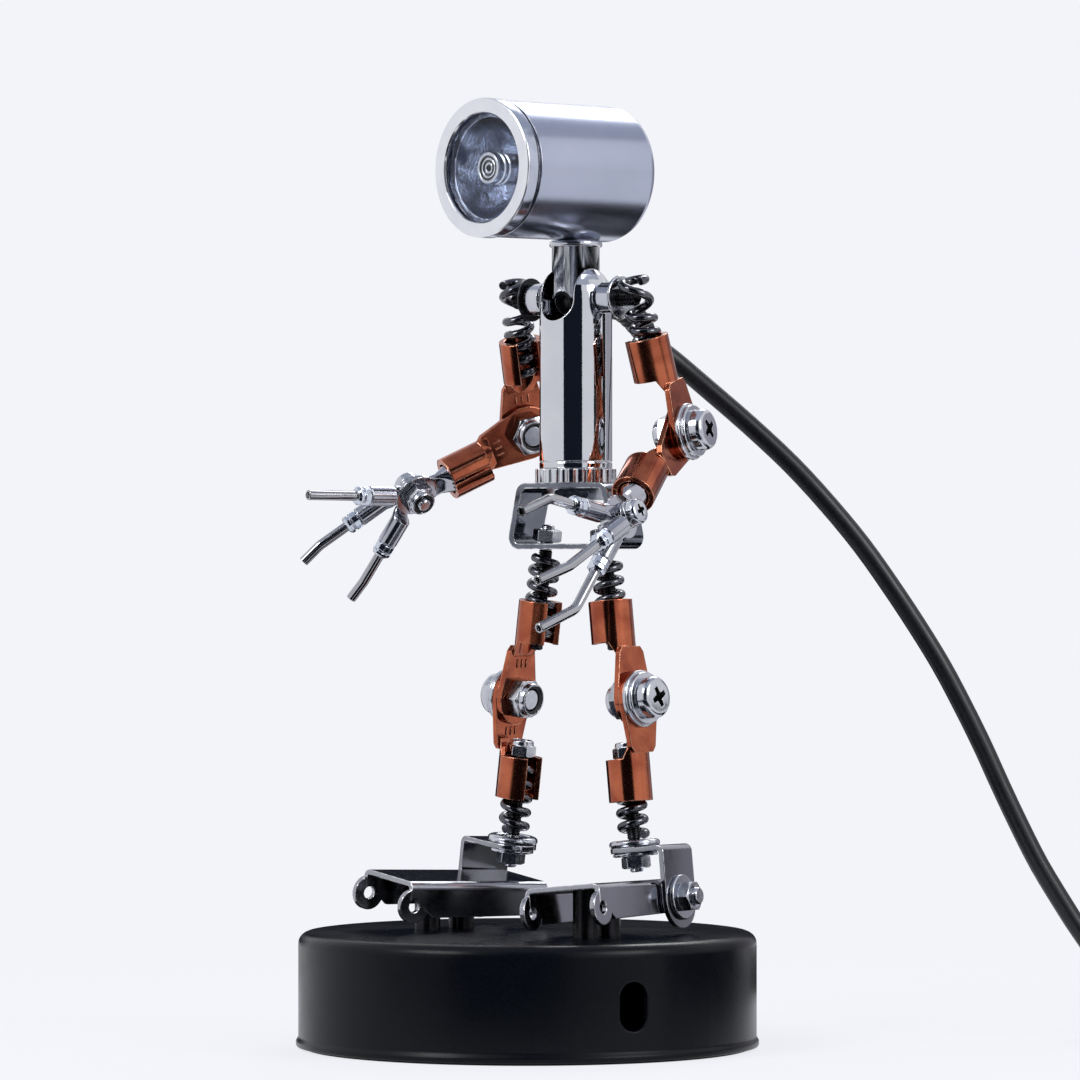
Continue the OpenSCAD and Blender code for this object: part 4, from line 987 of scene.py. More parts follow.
    def strain_relief(self) -> bpy.types.Object:
        """Makes the ribbed rubber boot that fills the slot at the torso's back.

        Returns:
            The boot.
        """
        shape = Shape()
        robot = FIGURE.robot()
        path = smooth_path(self.boot, 8)
        count = len(path)
        radii = []
        for i in range(count):
            u = i / (count - 1)
            ribbed = i % 5 in (3, 4) and i > 6
            radii.append(3.9 - 1.25 * u - (0.32 if ribbed else 0))
        shape.tube(path, radii, robot, sides=28)
        torso_r, sunk = 7.9, 1.8
        back = robot @ move(0, torso_r - sunk, self.boot[0][2]) @ turn("X", -90)
        shape.revolve([(AXIS_R, 0), (4.3, 0), (4.4, 0.2), (4.4, 1.8), (4.7, 1.9), (4.9, 2.1), (4.9, 2.6),
                       (4.6, 2.8), (3.8, 3.2), (AXIS_R, 3.2)], back, 0, 40, closed=False)
        boot = shape.build("cord_relief_dressed", ["cord_pvc"], "root", sharp=50)
        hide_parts("cord_relief")
        return boot

    def build(self) -> None:
        """Makes the cord and all that is on it."""
        plug, tie, boot = self.plug(), self.cable_tie(), self.strain_relief()
        path = self.path()
        shape = Shape()
        shape.tube(path, self.diameter / 2, Matrix.Identity(4), sides=16)
        lead = shape.build("cord_dressed", ["cord_pvc"], "root", sharp=60)
        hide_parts("cord_lead", "cord_coil", "cord_tail")


# -------- springs

@dataclass
class Springs:
    """The polished wire springs of ankles, hips and shoulders, in millimetres.

    Attributes:
        wire: Thickness of the wire.
        outside: Outside diameter of a spring.
        pitch: Climb of one turn.
        steps: Pieces of one turn.
        seat: Gap to what a spring rests on.
        ankle_from: Where the ankle springs start above their brackets.
        hip_gap: Gap between the hip springs and the pelvis.
        axle_d: Diameter of the shoulder axle.
        axle_gap: Gap between the axle and the wire round it.
        lead_in: Part of a turn above the axle.
    """

    wire: float = 1.9
    outside: float = 7.0
    pitch: float = 3.05
    steps: int = 28
    seat: float = 0.03
    ankle_from: float = 1.63
    hip_gap: float = 0.75
    axle_d: float = 3.9
    axle_gap: float = 0.25
    lead_in: float = 0.55

    @property
    def radius(self) -> float:
        """Radius of the wire's centreline."""
        return (self.outside - self.wire) / 2

    def coil(self, shape: Shape, at: Matrix, low: float, high: float) -> None:
        """Adds a plain spring.

        Args:
            shape: Mesh that it goes into.
            at: Frame whose Z is the spring's axis.
            low: Where it starts along Z.
            high: Where it ends.
        """
        climb = high - low - self.wire
        turns = climb / self.pitch
        count = math.ceil(turns * self.steps)
        path = []
        for i in range(count + 1):
            f = i / count
            a = 2 * math.pi * turns * f
            z = low + self.wire / 2 + climb * f
            path.append((self.radius * math.cos(a), self.radius * math.sin(a), z))
        shape.tube(path, self.wire / 2, at)

    def shoulder(self, side: Side) -> None:
        """Makes the spring whose end turns hold the shoulder axle between them.

        Args:
            side: Side of the robot.
        """
        shape = Shape()
        tilt = self.radius * math.tan(math.radians(FIGURE.sides[side].splay))
        up = self.axle_d / 2 + self.axle_gap + self.wire / 2 + tilt
        bottom = -FIGURE.shoulder_gap - FIGURE.lug_barrel + self.wire / 2 + self.seat
        turns = 1 + (-up - bottom) / self.pitch
        count = math.ceil((turns + self.lead_in) * self.steps)
        path = []
        for i in range(count + 1):
            t = -self.lead_in + (turns + self.lead_in) * i / count
            a = math.pi + 2 * math.pi * t
            z = up if t < 0 else up * math.cos(math.pi * t) if t < 1 else -up - (t - 1) * self.pitch
            path.append((self.radius * math.cos(a), self.radius * math.sin(a), z))
        shape.tube(path, self.wire / 2, FIGURE.arm_hang(side))
        node = f"{side.word}_shoulder_spring"
        spring = shape.build(f"{node}_dressed", ["spring_steel"], f"{side.word}_upper_arm", sharp=60)
        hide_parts(node)

    def build(self) -> None:
        """Makes all the springs."""
        ankles, hips = Shape(), Shape()
        ankle_to = FIGURE.ankle_gap + FIGURE.lug_barrel - self.seat
        hip_from = FIGURE.thigh_at - FIGURE.lug_barrel + self.seat
        for side in Side:
            leg = FIGURE.leg(side)
            self.coil(ankles, leg, self.ankle_from, ankle_to)
            hip_to = FIGURE.leg_length(side) - self.hip_gap
            self.coil(hips, leg @ move(FIGURE.thigh_shift, 0, 0), hip_from, hip_to)
            self.shoulder(side)
        for shape, node in ((ankles, "ankle_springs"), (hips, "hip_springs")):
            made = shape.build(f"{node}_dressed", ["spring_steel"], "root", sharp=60)
            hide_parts(node)


# -------- fasteners

@dataclass(frozen=True)
class Screw:
    """Sizes of one metric thread and its nut, in millimetres.

    Attributes:
        shank: Outside of the thread.
        flats: Width of the nut across its flats.
        height: Height of the nut.
        pitch: Climb of one turn of the thread.
    """

    shank: float
    flats: float
    height: float
    pitch: float


M3 = Screw(shank=3.0, flats=5.5, height=2.6, pitch=0.5)
M4 = Screw(shank=3.9, flats=7.0, height=3.2, pitch=0.7)
M5 = Screw(shank=5.0, flats=8.0, height=4.4, pitch=0.8)
ANKLE = Screw(shank=3.9, flats=6.0, height=2.6, pitch=0.7)
WRIST = Screw(shank=3.0, flats=6.2, height=2.6, pitch=0.5)


Pan = tuple[list[Point], list[tuple[int, ...]], list[int]]


@dataclass
class Fasteners:
    """Screws, nuts and washers of the joints, with threads and cross recesses, in millimetres.

    Attributes:
        seat: Gap between parts that are clamped together.
        run: Gap round a thread, and between parts that turn on each other.
        loose: Gap round a screw in a washer.
        segments: Corners of a nut's outline.
        lug_d: Outside of a lug's barrel.
        lug_t: Thickness of its sheet.
        sheet_t: Thickness of the feet and ankle brackets.
        foot_w: Width of a foot.
        bracket_w: Width of an ankle bracket.
        torso_r: Radius of the torso.
        cross_at: Height of the ankle's cross bolt from the bracket.
        washer_d: Outside of a joint's washer.
        washer_t: Its thickness.
        small_washer_t: Thickness of the ankles' washers.
        palm_half: Half the thickness of a palm's ring.
        finger_t: Thickness of a finger's ring.
        pan: Diameter and height of the heads at knees and elbows.
        wrist_pan: The same at the wrists.
        ankle_pan: The same at the ankles.
    """

    seat: float = 0.03
    run: float = 0.06
    loose: float = 0.15
    segments: int = 48
    lug_d: float = 9.5
    lug_t: float = 1.2
    sheet_t: float = 1.1
    foot_w: float = 18.4
    bracket_w: float = 20.9
    torso_r: float = 7.9
    cross_at: float = -11.5
    washer_d: float = 12.4
    washer_t: float = 1.0
    small_washer_t: float = 0.8
    palm_half: float = 0.5
    finger_t: float = 0.8
    pan: Flat = (9.0, 3.2)
    wrist_pan: Flat = (5.6, 2.2)
    ankle_pan: Flat = (5.8, 1.6)

    def rod(self, shape: Shape, at: Matrix, size: Screw, low: float, high: float, paint: int = 0) -> None:
        """Adds a threaded rod with chamfered ends.

        Args:
            shape: Mesh that it goes into.
            at: Frame whose Z is the rod's axis.
            size: Its thread.
            low: Where it starts along Z.
            high: Where it ends.
            paint: Material number.
        """
        sides, per_turn, cut, depth = 20, 4, 0.4, 0.32 * size.pitch
        count = max(2, round((high - low) / size.pitch * per_turn))
        loops = []
        for i in range(count + 1):
            z = low + (high - low) * i / count
            chamfer = cut * max(0.0, 1 - min(z - low, high - z) / cut)
            loop = []
            for k, a in enumerate(around(sides)):
                phase = ((z - low) / size.pitch - k / sides) % 1
                r = min(size.shank / 2 - depth * abs(2 * phase - 1), size.shank / 2 - chamfer)
                loop.append((r * math.cos(a), r * math.sin(a), z))
            loops.append(loop)
        shape.rings(loops, at, paint)

    def nut(self, shape: Shape, at: Matrix, size: Screw, height: float, bore: float) -> None:
        """Adds a hex nut whose corners are cut by a shallow cone at both ends.

        Args:
            shape: Mesh that it goes into.
            at: Frame with the nut from z = 0 upwards.
            size: Its thread.
            height: Height of the hexagon.
            bore: Diameter of the hole.
        """
        face, relief, slope = 0.975 * size.flats / 2, 0.3, 0.577
        count = self.segments
        sides = []
        for z, way in ((0, 1), (height, -1)):
            side = []
            for a in around(count):
                corner = size.flats / 2 / math.cos((a + math.pi / 6) % (math.pi / 3) - math.pi / 6)
                lift = max(0.0, corner - face) * slope
                side.append((corner * math.cos(a), corner * math.sin(a), z + way * lift))
            sides.append(side)
        under = [circle(bore / 2, relief, count), circle(bore / 2 + relief, 0, count), circle(face, 0, count)]
        over = [circle(face, height, count), circle(bore / 2 + relief, height, count),
                circle(bore / 2, height - relief, count)]
        shape.rings([*under, *sides, *over], at, closed=True)

    def lock_nut(self, shape: Shape, at: Matrix, size: Screw, height: float, bore: float) -> None:
        """Adds a lock nut: hexagon, rolled collar (material 0) and nylon ring (material 1).

        Args:
            shape: Mesh that it goes into.
            at: Frame with the nut from z = 0 upwards.
            size: Its thread.
            height: Its whole height.
            bore: Diameter of the hole.
        """
        hexagon = 0.68 * height
        collar = 0.46 * size.flats
        self.nut(shape, at, size, hexagon, bore)
        inner = collar - 0.13 * size.flats / 2
        shape.revolve([(inner, hexagon - 0.3), (collar, hexagon - 0.3), (collar, height - 0.6),
                       (collar - 0.1, height - 0.25), (collar - 0.3, height - 0.03), (inner, height - 0.08),
                       (inner, height - 0.5)], at, 0)
        shape.revolve([(bore / 2, hexagon - 0.2), (inner, hexagon - 0.2), (inner, height - 0.5),
                       (bore / 2, height - 0.65)], at, 1)

    def washer(self, shape: Shape, at: Matrix, outside: float, thick: float, bore: float,
               paint: int = 0) -> None:
        """Adds a stamped washer: one edge rolled over, the other with a small burr.

        Args:
            shape: Mesh that it goes into.
            at: Frame with the washer from z = 0 upwards.
            outside: Its diameter.
            thick: Its thickness.
            bore: Diameter of its hole.
            paint: Material number.
        """
        r, b, edge = outside / 2, bore / 2, 0.1
        outline = [(b, edge), (b + edge, 0), (r - 0.12, 0), (r - 0.03, 0.05), (r, 0.15), (r, thick - 0.3),
                   (r - edge, thick - 0.08), (r - 0.28, thick), (b + edge, thick), (b, thick - edge)]
        shape.revolve(outline, at, paint)

    def cross_head(self, diameter: float, height: float) -> Pan:
        """Makes a pan head with a cross recess.

        Args:
            diameter: Diameter of the head.
            height: Its height.

        Returns:
            Corners, faces and the faces' material numbers, with the seat on z = 0.
        """
        crown = 0.42 * height
        head, recess = Shape(), Shape()
        edge = diameter / 2
        outline = [(AXIS_R, 0), (edge - 0.1, 0), (edge, 0.1), (edge, height - crown)]
        for a in range(12, 91, 13):
            t = math.radians(a)
            outline.append((edge - crown * 0.95 * (1 - math.cos(t)), height - crown + crown * math.sin(t)))
        outline.append((AXIS_R, height))
        head.revolve(outline, Matrix.Identity(4), segments=72, closed=False)
        arm, half, deep = 0.25 * diameter, 0.06 * diameter, 0.26 * diameter
        loops = []
        stations = ((height + 0.5, 1.04, 1.1), (height - 0.02, 1.0, 1.0), (height - deep, 0.5, 0.7))
        for z, longer, wider in stations:
            reach, wide = arm * longer, half * wider
            round_in = wide * 1.45
            loop = []
            for quarter in range(4):
                a = math.radians(90 * quarter)
                for x, y in ((reach, -wide), (reach, wide), (round_in * 1.25, wide), (round_in, round_in)):
                    loop.append((x * math.cos(a) - y * math.sin(a), x * math.sin(a) + y * math.cos(a), z))
            loops.append(loop)
        recess.rings(loops[::-1], Matrix.Identity(4))
        meshes = []
        for part in (head, recess):
            mesh = bpy.data.meshes.new("part_of_head")
            mesh.from_pydata(part.corners, [], part.faces)
            meshes.append(bpy.data.objects.new("part_of_head", mesh))
            place(meshes[-1])
        cut = meshes[0].modifiers.new("recess", "BOOLEAN")
        cut.object, cut.operation, cut.solver = meshes[1], "DIFFERENCE", "EXACT"
        graph = bpy.context.evaluated_depsgraph_get()
        done = bpy.data.meshes.new_from_object(meshes[0].evaluated_get(graph))
        corners = [tuple(v.co) for v in done.vertices]
        faces = [tuple(p.vertices) for p in done.polygons]
        # Sunk faces of the cross recess take material 2: painted shade in the recess.
        paints = []
        for polygon in done.polygons:
            sunk = 0.1 < polygon.center.z < height - 0.06
            paints.append(2 if sunk and polygon.center.xy.length < arm * 1.02 else 0)
        for item in meshes:
            bpy.data.objects.remove(item)
        bpy.data.meshes.remove(done)
        return corners, faces, paints

    def joint_stack(self, shape: Shape, at: Matrix, grip: float, head: Pan) -> None:
        """Adds bolt, two washers and lock nut of a knee or an elbow.

        Args:
            shape: Mesh that they go into.
            at: Frame whose Z is the bolt, with z = 0 on the outer tongue's outer face.
            grip: Thickness of the two tongues.
            head: Mesh of the bolt's head.
        """
        thick, bore = self.washer_t, M5.shank + 2 * self.loose
        top = 2 * thick + 3 * self.seat
        low = -grip - self.seat
        self.washer(shape, at @ move(0, 0, self.seat), self.washer_d, thick, bore)
        self.washer(shape, at @ move(0, 0, 2 * self.seat + thick), self.washer_d - 1, thick, bore)
        corners, faces, paints = head
        shape.add(corners, faces, at @ move(0, 0, top) @ turn("Z", 25), paints)
        self.rod(shape, at, M5, low - M5.height + 0.7, top + 0.1)
        self.lock_nut(shape, at @ move(0, 0, low) @ turn("X", 180), M5, M5.height, M5.shank + 2 * self.run)

    def knees(self, head: Pan) -> None:
        """Makes the knee bolts.

        Args:
            head: Mesh of a bolt's head.
        """
        shape = Shape()
        for side in Side:
            at = FIGURE.leg(side) @ move(self.lug_d / 2, 0, FIGURE.knee_at) @ turn("Y", 90)
            self.joint_stack(shape, at, 2 * self.lug_t + self.seat, head)
        self.finish(shape, "knee_fasteners", "root")

    def elbow(self, side: Side, head: Pan) -> None:
        """Makes one elbow bolt.

        Args:
            side: Side of the robot.
            head: Mesh of the bolt's head.
        """
        shape = Shape()
        at = FIGURE.upper_arm(side) @ move(self.lug_d / 2, 0, -FIGURE.elbow_drop) @ turn("Y", 90)
        self.joint_stack(shape, at, 2 * self.lug_t + 2 * self.run, head)
        self.finish(shape, f"{side.word}_elbow_fasteners", f"{side.word}_upper_arm")

    def wrist(self, side: Side) -> None:
        """Makes one wrist bolt.

        Args:
            side: Side of the robot.
        """
        shape = Shape()
        at = FIGURE.hand(side) @ turn("Y", 90)
        low = -self.palm_half - 3 * (self.finger_t + self.run) - self.run
        corners, faces, paints = self.cross_head(*self.wrist_pan)
        shape.add(corners, faces, at @ move(0, 0, low) @ turn("X", 180) @ turn("Z", 20), paints)
        self.rod(shape, at, M3, low - 0.1, self.palm_half + M3.height + 1.5)
        over = at @ move(0, 0, self.palm_half + self.run)
        self.lock_nut(shape, over, WRIST, M3.height + 0.8, M3.shank + 2 * self.run)
        self.finish(shape, f"{side.word}_wrist_fasteners", f"{side.word}_hand")

    def ankles(self) -> None:
        """Makes the cross bolts, washers and rods of both ankles."""
        crosses, rods = Shape(), Shape()
        corners, faces, paints = self.cross_head(*self.ankle_pan)
        seat = [(1.85, 0.1), (1.95, 0), (4.9, 0), (5.3, 0.18), (5.47, 0.5), (5.5, 0.8), (5.42, 1.15),
                (5.1, 1.45), (4.7, 1.58), (3.95, 1.6), (3.75, 1.42), (1.85, 1.42)]
        thick = self.small_washer_t
        for side in Side:
            foot, leg = FIGURE.foot(side), FIGURE.leg(side)
            at = foot @ move(self.foot_w / 2 - self.sheet_t - self.seat, 0, self.cross_at) @ turn("Y", 90)
            crosses.add(corners, faces, at @ turn("X", 180), paints)
            self.rod(crosses, at, M4, -0.1, (self.bracket_w - self.foot_w) / 2 + self.sheet_t + 4.7)
            at = foot @ move(self.bracket_w / 2 + self.seat, 0, self.cross_at) @ turn("Y", 90)
            self.washer(crosses, at, 9.8, thick, M4.shank + 2 * self.loose)
            over = at @ move(0, 0, thick + self.seat)
            self.nut(crosses, over, ANKLE, ANKLE.height, ANKLE.shank + 2 * self.run)
            crosses.revolve(seat, foot)
            under = -self.sheet_t - self.seat - thick
            self.washer(crosses, foot @ move(0, 0, under), 9.6, thick, M3.shank + 2 * self.loose)
            top = FIGURE.ankle_gap + FIGURE.lug_barrel + self.seat
            low = under - self.seat - M3.height
            self.rod(rods, leg, M3, low - 0.8, 1.7)
            # The stretch inside the spring is material 3: painted shade.
            self.rod(rods, leg, M3, 1.6, top + 0.3, 3)
            self.rod(rods, leg, M3, top + 0.2, top + M3.height + 0.9)
            self.lock_nut(rods, leg @ move(0, 0, top), M3, M3.height + 1, M3.shank + 2 * self.run)
            self.nut(rods, leg @ move(0, 0, low), M3, M3.height, M3.shank + 2 * self.run)
        self.finish(crosses, "ankle_fasteners", "root")
        self.finish(rods, "ankle_rods", "root")

    def hips(self) -> None:
        """Makes the screws that hold the hip springs under the pelvis."""
        shape = Shape()
        for side in Side:
            at = FIGURE.leg(side) @ move(FIGURE.thigh_shift, 0, 0)
            top = FIGURE.leg_length(side) + 1.9
            # The stretch inside the spring is material 3: painted shade.
            self.rod(shape, at, M3, FIGURE.thigh_at - FIGURE.lug_barrel - 1.5, top - 1.8, 3)
            self.rod(shape, at, M3, top - 1.9, top + M3.height + 1)
            self.nut(shape, at @ move(0, 0, top), M3, M3.height, M3.shank + 2 * self.run)
        self.finish(shape, "hip_screws", "root")

    def shoulders(self) -> None:
        """Makes the threaded axle and its nuts and washers."""
        axle, nuts = Shape(), Shape()
        across = FIGURE.robot() @ move(0, 0, FIGURE.axle_z) @ turn("Y", 90)
        # The whole axle is material 3: painted shade where it runs inside the springs.
        self.rod(axle, across, M4, -FIGURE.shoulder_x, FIGURE.shoulder_x, 3)
        bore, r, high, edge = M4.shank / 2 + self.seat, M4.flats / 2, 4.2, 0.3
        for side in Side:
            at = FIGURE.half(side) @ move(self.torso_r + self.seat, 0, FIGURE.axle_z) @ turn("Y", 90)
            sleeve = [(bore, 0), (r - edge, 0), (r, edge), (r, 3.9), (r - edge, high), (bore, high)]
            nuts.revolve(sleeve, at)
            over = at @ move(0, 0, high + self.seat)
            # Only the right shoulder's washer is material 3: painted shade on that side.
            self.washer(nuts, over, 9.5, 0.6, M4.shank + 2 * self.seat, 3 if side is Side.RIGHT else 0)
        self.finish(axle, "shoulder_axle", "root")
        self.finish(nuts, "shoulder_nuts", "root")

    def finish(self, shape: Shape, node: str, body: str) -> None:
        """Turns a mesh of fasteners into the piece that stands for a node.

        Args:
            shape: The mesh.
            node: Name of the node.
            body: Body that carries it.
        """
        # Material 2 is painted shade in the cross recesses; material 3 is painted shade on rods inside
        # springs, the shoulder axle and the right shoulder's washer.
        finishes = ["zinc_plate", "nut_nylon", "recess_painted_shade", "dark_steel_and_painted_shade"]
        made = shape.build(f"{node}_dressed", finishes, body, sharp=24)
        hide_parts(node)

    def build(self) -> None:
        """Makes all the fasteners that show a thread or a recess."""
        head = self.cross_head(*self.pan)
        self.knees(head)
        self.ankles()
        self.hips()
        self.shoulders()
        for side in Side:
            self.elbow(side, head)
            self.wrist(side)


# -------- fingers and marks

@dataclass
class Fingers:
    """Palm lug and three ring terminals of each hand, with collars and bent tubes, in millimetres.

    Attributes:
        thick: Thickness of a terminal's ring.
        gap: Gap between rings.
        ring_d: Outside of a ring.
        hole_r: Radius of the holes for the wrist bolt.
        palm_r: Radius of the palm's ring.
        palm_half: Half its thickness.
        barrel_d: Outside of a terminal's barrel.
        barrel: Where the barrel starts and ends, from the wrist bolt.
        collar_to: Where the collar ends.
        tube_d: Outside of the tube.
        neck_at: Where the neck starts to lean.
        layers: Place of each finger's ring in the stack.
        bulges: Side to which each barrel stands out.
    """

    thick: float = 0.8
    gap: float = 0.06
    ring_d: float = 6.0
    hole_r: float = 1.56
    palm_r: float = 4.9
    palm_half: float = 0.5
    barrel_d: float = 4.3
    barrel: Flat = (6.6, 12.8)
    collar_to: float = 16.2
    tube_d: float = 2.2
    neck_at: float = 3.6
    layers: tuple[int, int, int] = (1, 3, 2)
    bulges: tuple[int, int, int] = (1, -1, 1)

    def terminal(self, shape: Shape, at: Matrix, axis: float, lean: float) -> None:
        """Adds the ring, its neck and the crimped barrel.

        Args:
            shape: Mesh that it goes into.
            at: Frame on the wrist bolt, with the finger along -Z.
            axis: Sideways distance of the barrel's middle.
            lean: Sideways lean of the neck, in degrees.
        """
        self.ring(shape, at @ turn("Y", 90), self.ring_d / 2, 0, self.thick, 40)
        full, lean_length = self.barrel_d / 2, 3
        stations = ((2.3, 0.0, full), (4.6, 0.0, full), (5.2, 0.1, full), (5.8, 0.42, full), (6.3, 0.8, full),
                    (6.7, 1.0, full), (6.8, 1.0, full), (9.0, 1.0, full), (12.65, 1.0, full),
                    (12.8, 1.0, 2.02), (12.8, 1.0, 1.3), (11.8, 1.0, 1.25))
        loops = []
        for z, u, r in stations:
            leaned = self.leaned(lean * min(1, max(0, (z - self.neck_at) / lean_length)))
            loops.append([leaned @ Vector(point) for point in self.section(z, u, axis, r)])
        shape.rings(loops, at)

    def ring(self, shape: Shape, at: Matrix, r: float, low: float, high: float, segments: int) -> None:
        """Adds a ring for the wrist bolt, with softened edges.

        Args:
            shape: Mesh that it goes into.
            at: Frame whose Z is the bolt.
            r: Its outside radius.
            low: Where it starts along Z.
            high: Where it ends.
            segments: Steps round it.
        """
        hole, edge = self.hole_r, 0.12
        shape.revolve([(hole, low + edge), (hole + edge, low), (r - edge, low), (r, low + edge),
                       (r, high - edge), (r - edge, high), (hole + edge, high), (hole, high - edge)],
                      at, 0, segments)

    def leaned(self, angle: float) -> Matrix:
        """Turn of the neck about its root."""
        return move(0, 0, -self.neck_at) @ turn("Y", angle) @ move(0, 0, self.neck_at)

    def section(self, z: float, u: float, axis: float, r: float) -> list[Point]:
        """Makes a cross-section between a flat strip and a round barrel.

        Args:
            z: Its distance from the wrist bolt.
            u: 0 for the strip, 1 for the barrel.
            axis: Sideways distance of the barrel's middle.
            r: Radius of the barrel.

        Returns:
            Its points.
        """
        strip_x, strip_y, square = self.thick / 2, 1.5, 0.35
        centre = strip_x + (axis - strip_x) * u
        oval = soft_oval(strip_x + (r - strip_x) * u, strip_y + (r - strip_y) * u,
                         square + (1 - square) * u, [-a for a in around(28)])
        return [(centre + x, y, -z) for x, y in oval]

    def collar(self, shape: Shape, at: Matrix) -> None:
        """Adds the bright crimp collar with its two bands.

        Args:
            shape: Mesh that it goes into.
            at: Frame on the barrel's axis, with the finger along -Z.
        """
        low, high = self.barrel[1] + 0.03, self.collar_to
        b, r = self.tube_d / 2 + 0.03, self.barrel_d / 2
        shape.revolve([(b, -high), (r - 0.55, -high), (r - 0.05, -high + 0.5), (r - 0.05, -high + 1.1),
                       (r - 0.35, -high + 1.25), (r - 0.35, -high + 1.5), (r - 0.05, -high + 1.65),
                       (r - 0.05, -low - 0.35), (r - 0.4, -low), (b, -low)], at, 1, 10)

    def tube(self, shape: Shape, at: Matrix, curl: float, tip: float, bend_at: float) -> None:
        """Adds the bent tube with its open end.

        Args:
            shape: Mesh that it goes into.
            at: Frame on the barrel's axis, with the finger along -Z.
            curl: Its bend, in degrees.
            tip: Its length past the bend.
            bend_at: Distance of the bend from the wrist bolt.
        """
        r, bend_r, steps, edge = self.tube_d / 2, 2.5 * self.tube_d, 10, 0.12
        angle, way = math.radians(abs(curl)), math.copysign(1, curl)
        cut = bend_r * math.tan(angle / 2)
        stations = [(Vector((0, 0, -self.barrel[0] - 1.5)), Vector((0, 0, -1)), r)]
        for k in range(steps + 1):
            a = angle * k / steps
            centre = Vector((0, way * bend_r * (1 - math.cos(a)), -bend_at + cut - bend_r * math.sin(a)))
            stations.append((centre, Vector((0, way * math.sin(a), -math.cos(a))), r))
        along = Vector((0, way * math.sin(angle), -math.cos(angle)))
        end = Vector((0, 0, -bend_at)) + tip * along
        for back, radius in ((edge, r), (0, r - edge), (0, r * 0.66), (0.15, r * 0.58), (2.5, r * 0.56)):
            stations.append((end - back * along, along, radius))
        across = Vector((1, 0, 0))
        loops = []
        for centre, direction, radius in stations:
            up = direction.cross(across)
            loops.append([centre + radius * (math.cos(a) * across + math.sin(a) * up) for a in around(24)])
        shape.rings(loops, at, 2)

    def palm(self, side: Side) -> None:
        """Makes the palm lug: a ring whose neck swells into the barrel that sits in the forearm.

        Args:
            side: Side of the robot.
        """
        shape = Shape()
        at = FIGURE.hand(side)
        self.ring(shape, at @ turn("Y", 90), self.palm_r, -self.palm_half, self.palm_half, 56)
        stations = ((2.6, 0.49, 3.6, 0.3), (4.4, 0.5, 2.9, 0.35), (5.6, 0.8, 2.7, 0.5),
                    (6.8, 1.7, 2.95, 0.75), (7.8, 2.7, 3.2, 0.95), (8.5, 3.3, 3.3, 1.0),
                    (11.0, 3.3, 3.3, 1.0))
        shape.rings([[(x, y, z) for x, y in soft_oval(thick, wide, power, around(32))]
                     for z, thick, wide, power in stations], at)
        node = f"{side.word}_palm_lug"
        made = shape.build(f"{node}_dressed", ["tin_plate"], f"{side.word}_hand", sharp=40)
        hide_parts(node)

    def build(self) -> None:
        """Makes the palms and the six fingers."""
        for side in Side:
            self.palm(side)
            pose = FIGURE.sides[side]
            for k in range(3):
                shape = Shape()
                axis = self.thick / 2 + self.bulges[k] * (self.barrel_d - self.thick) / 2
                layer = -self.palm_half - self.layers[k] * (self.thick + self.gap)
                at = FIGURE.hand(side) @ turn("X", pose.fan[k]) @ move(layer, 0, 0)
                self.terminal(shape, at, axis, pose.lean[k])
                barrel = at @ self.leaned(pose.lean[k]) @ move(axis, 0, 0)
                self.collar(shape, barrel)
                self.tube(shape, barrel, pose.curl[k], pose.tip[k], pose.bend[k])
                node = f"{side.word}_finger_{k + 1}"
                finishes = ["tin_plate", "collar_steel", "finger_steel"]
                made = shape.build(f"{node}_dressed", finishes, node, sharp=30)
                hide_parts(node)


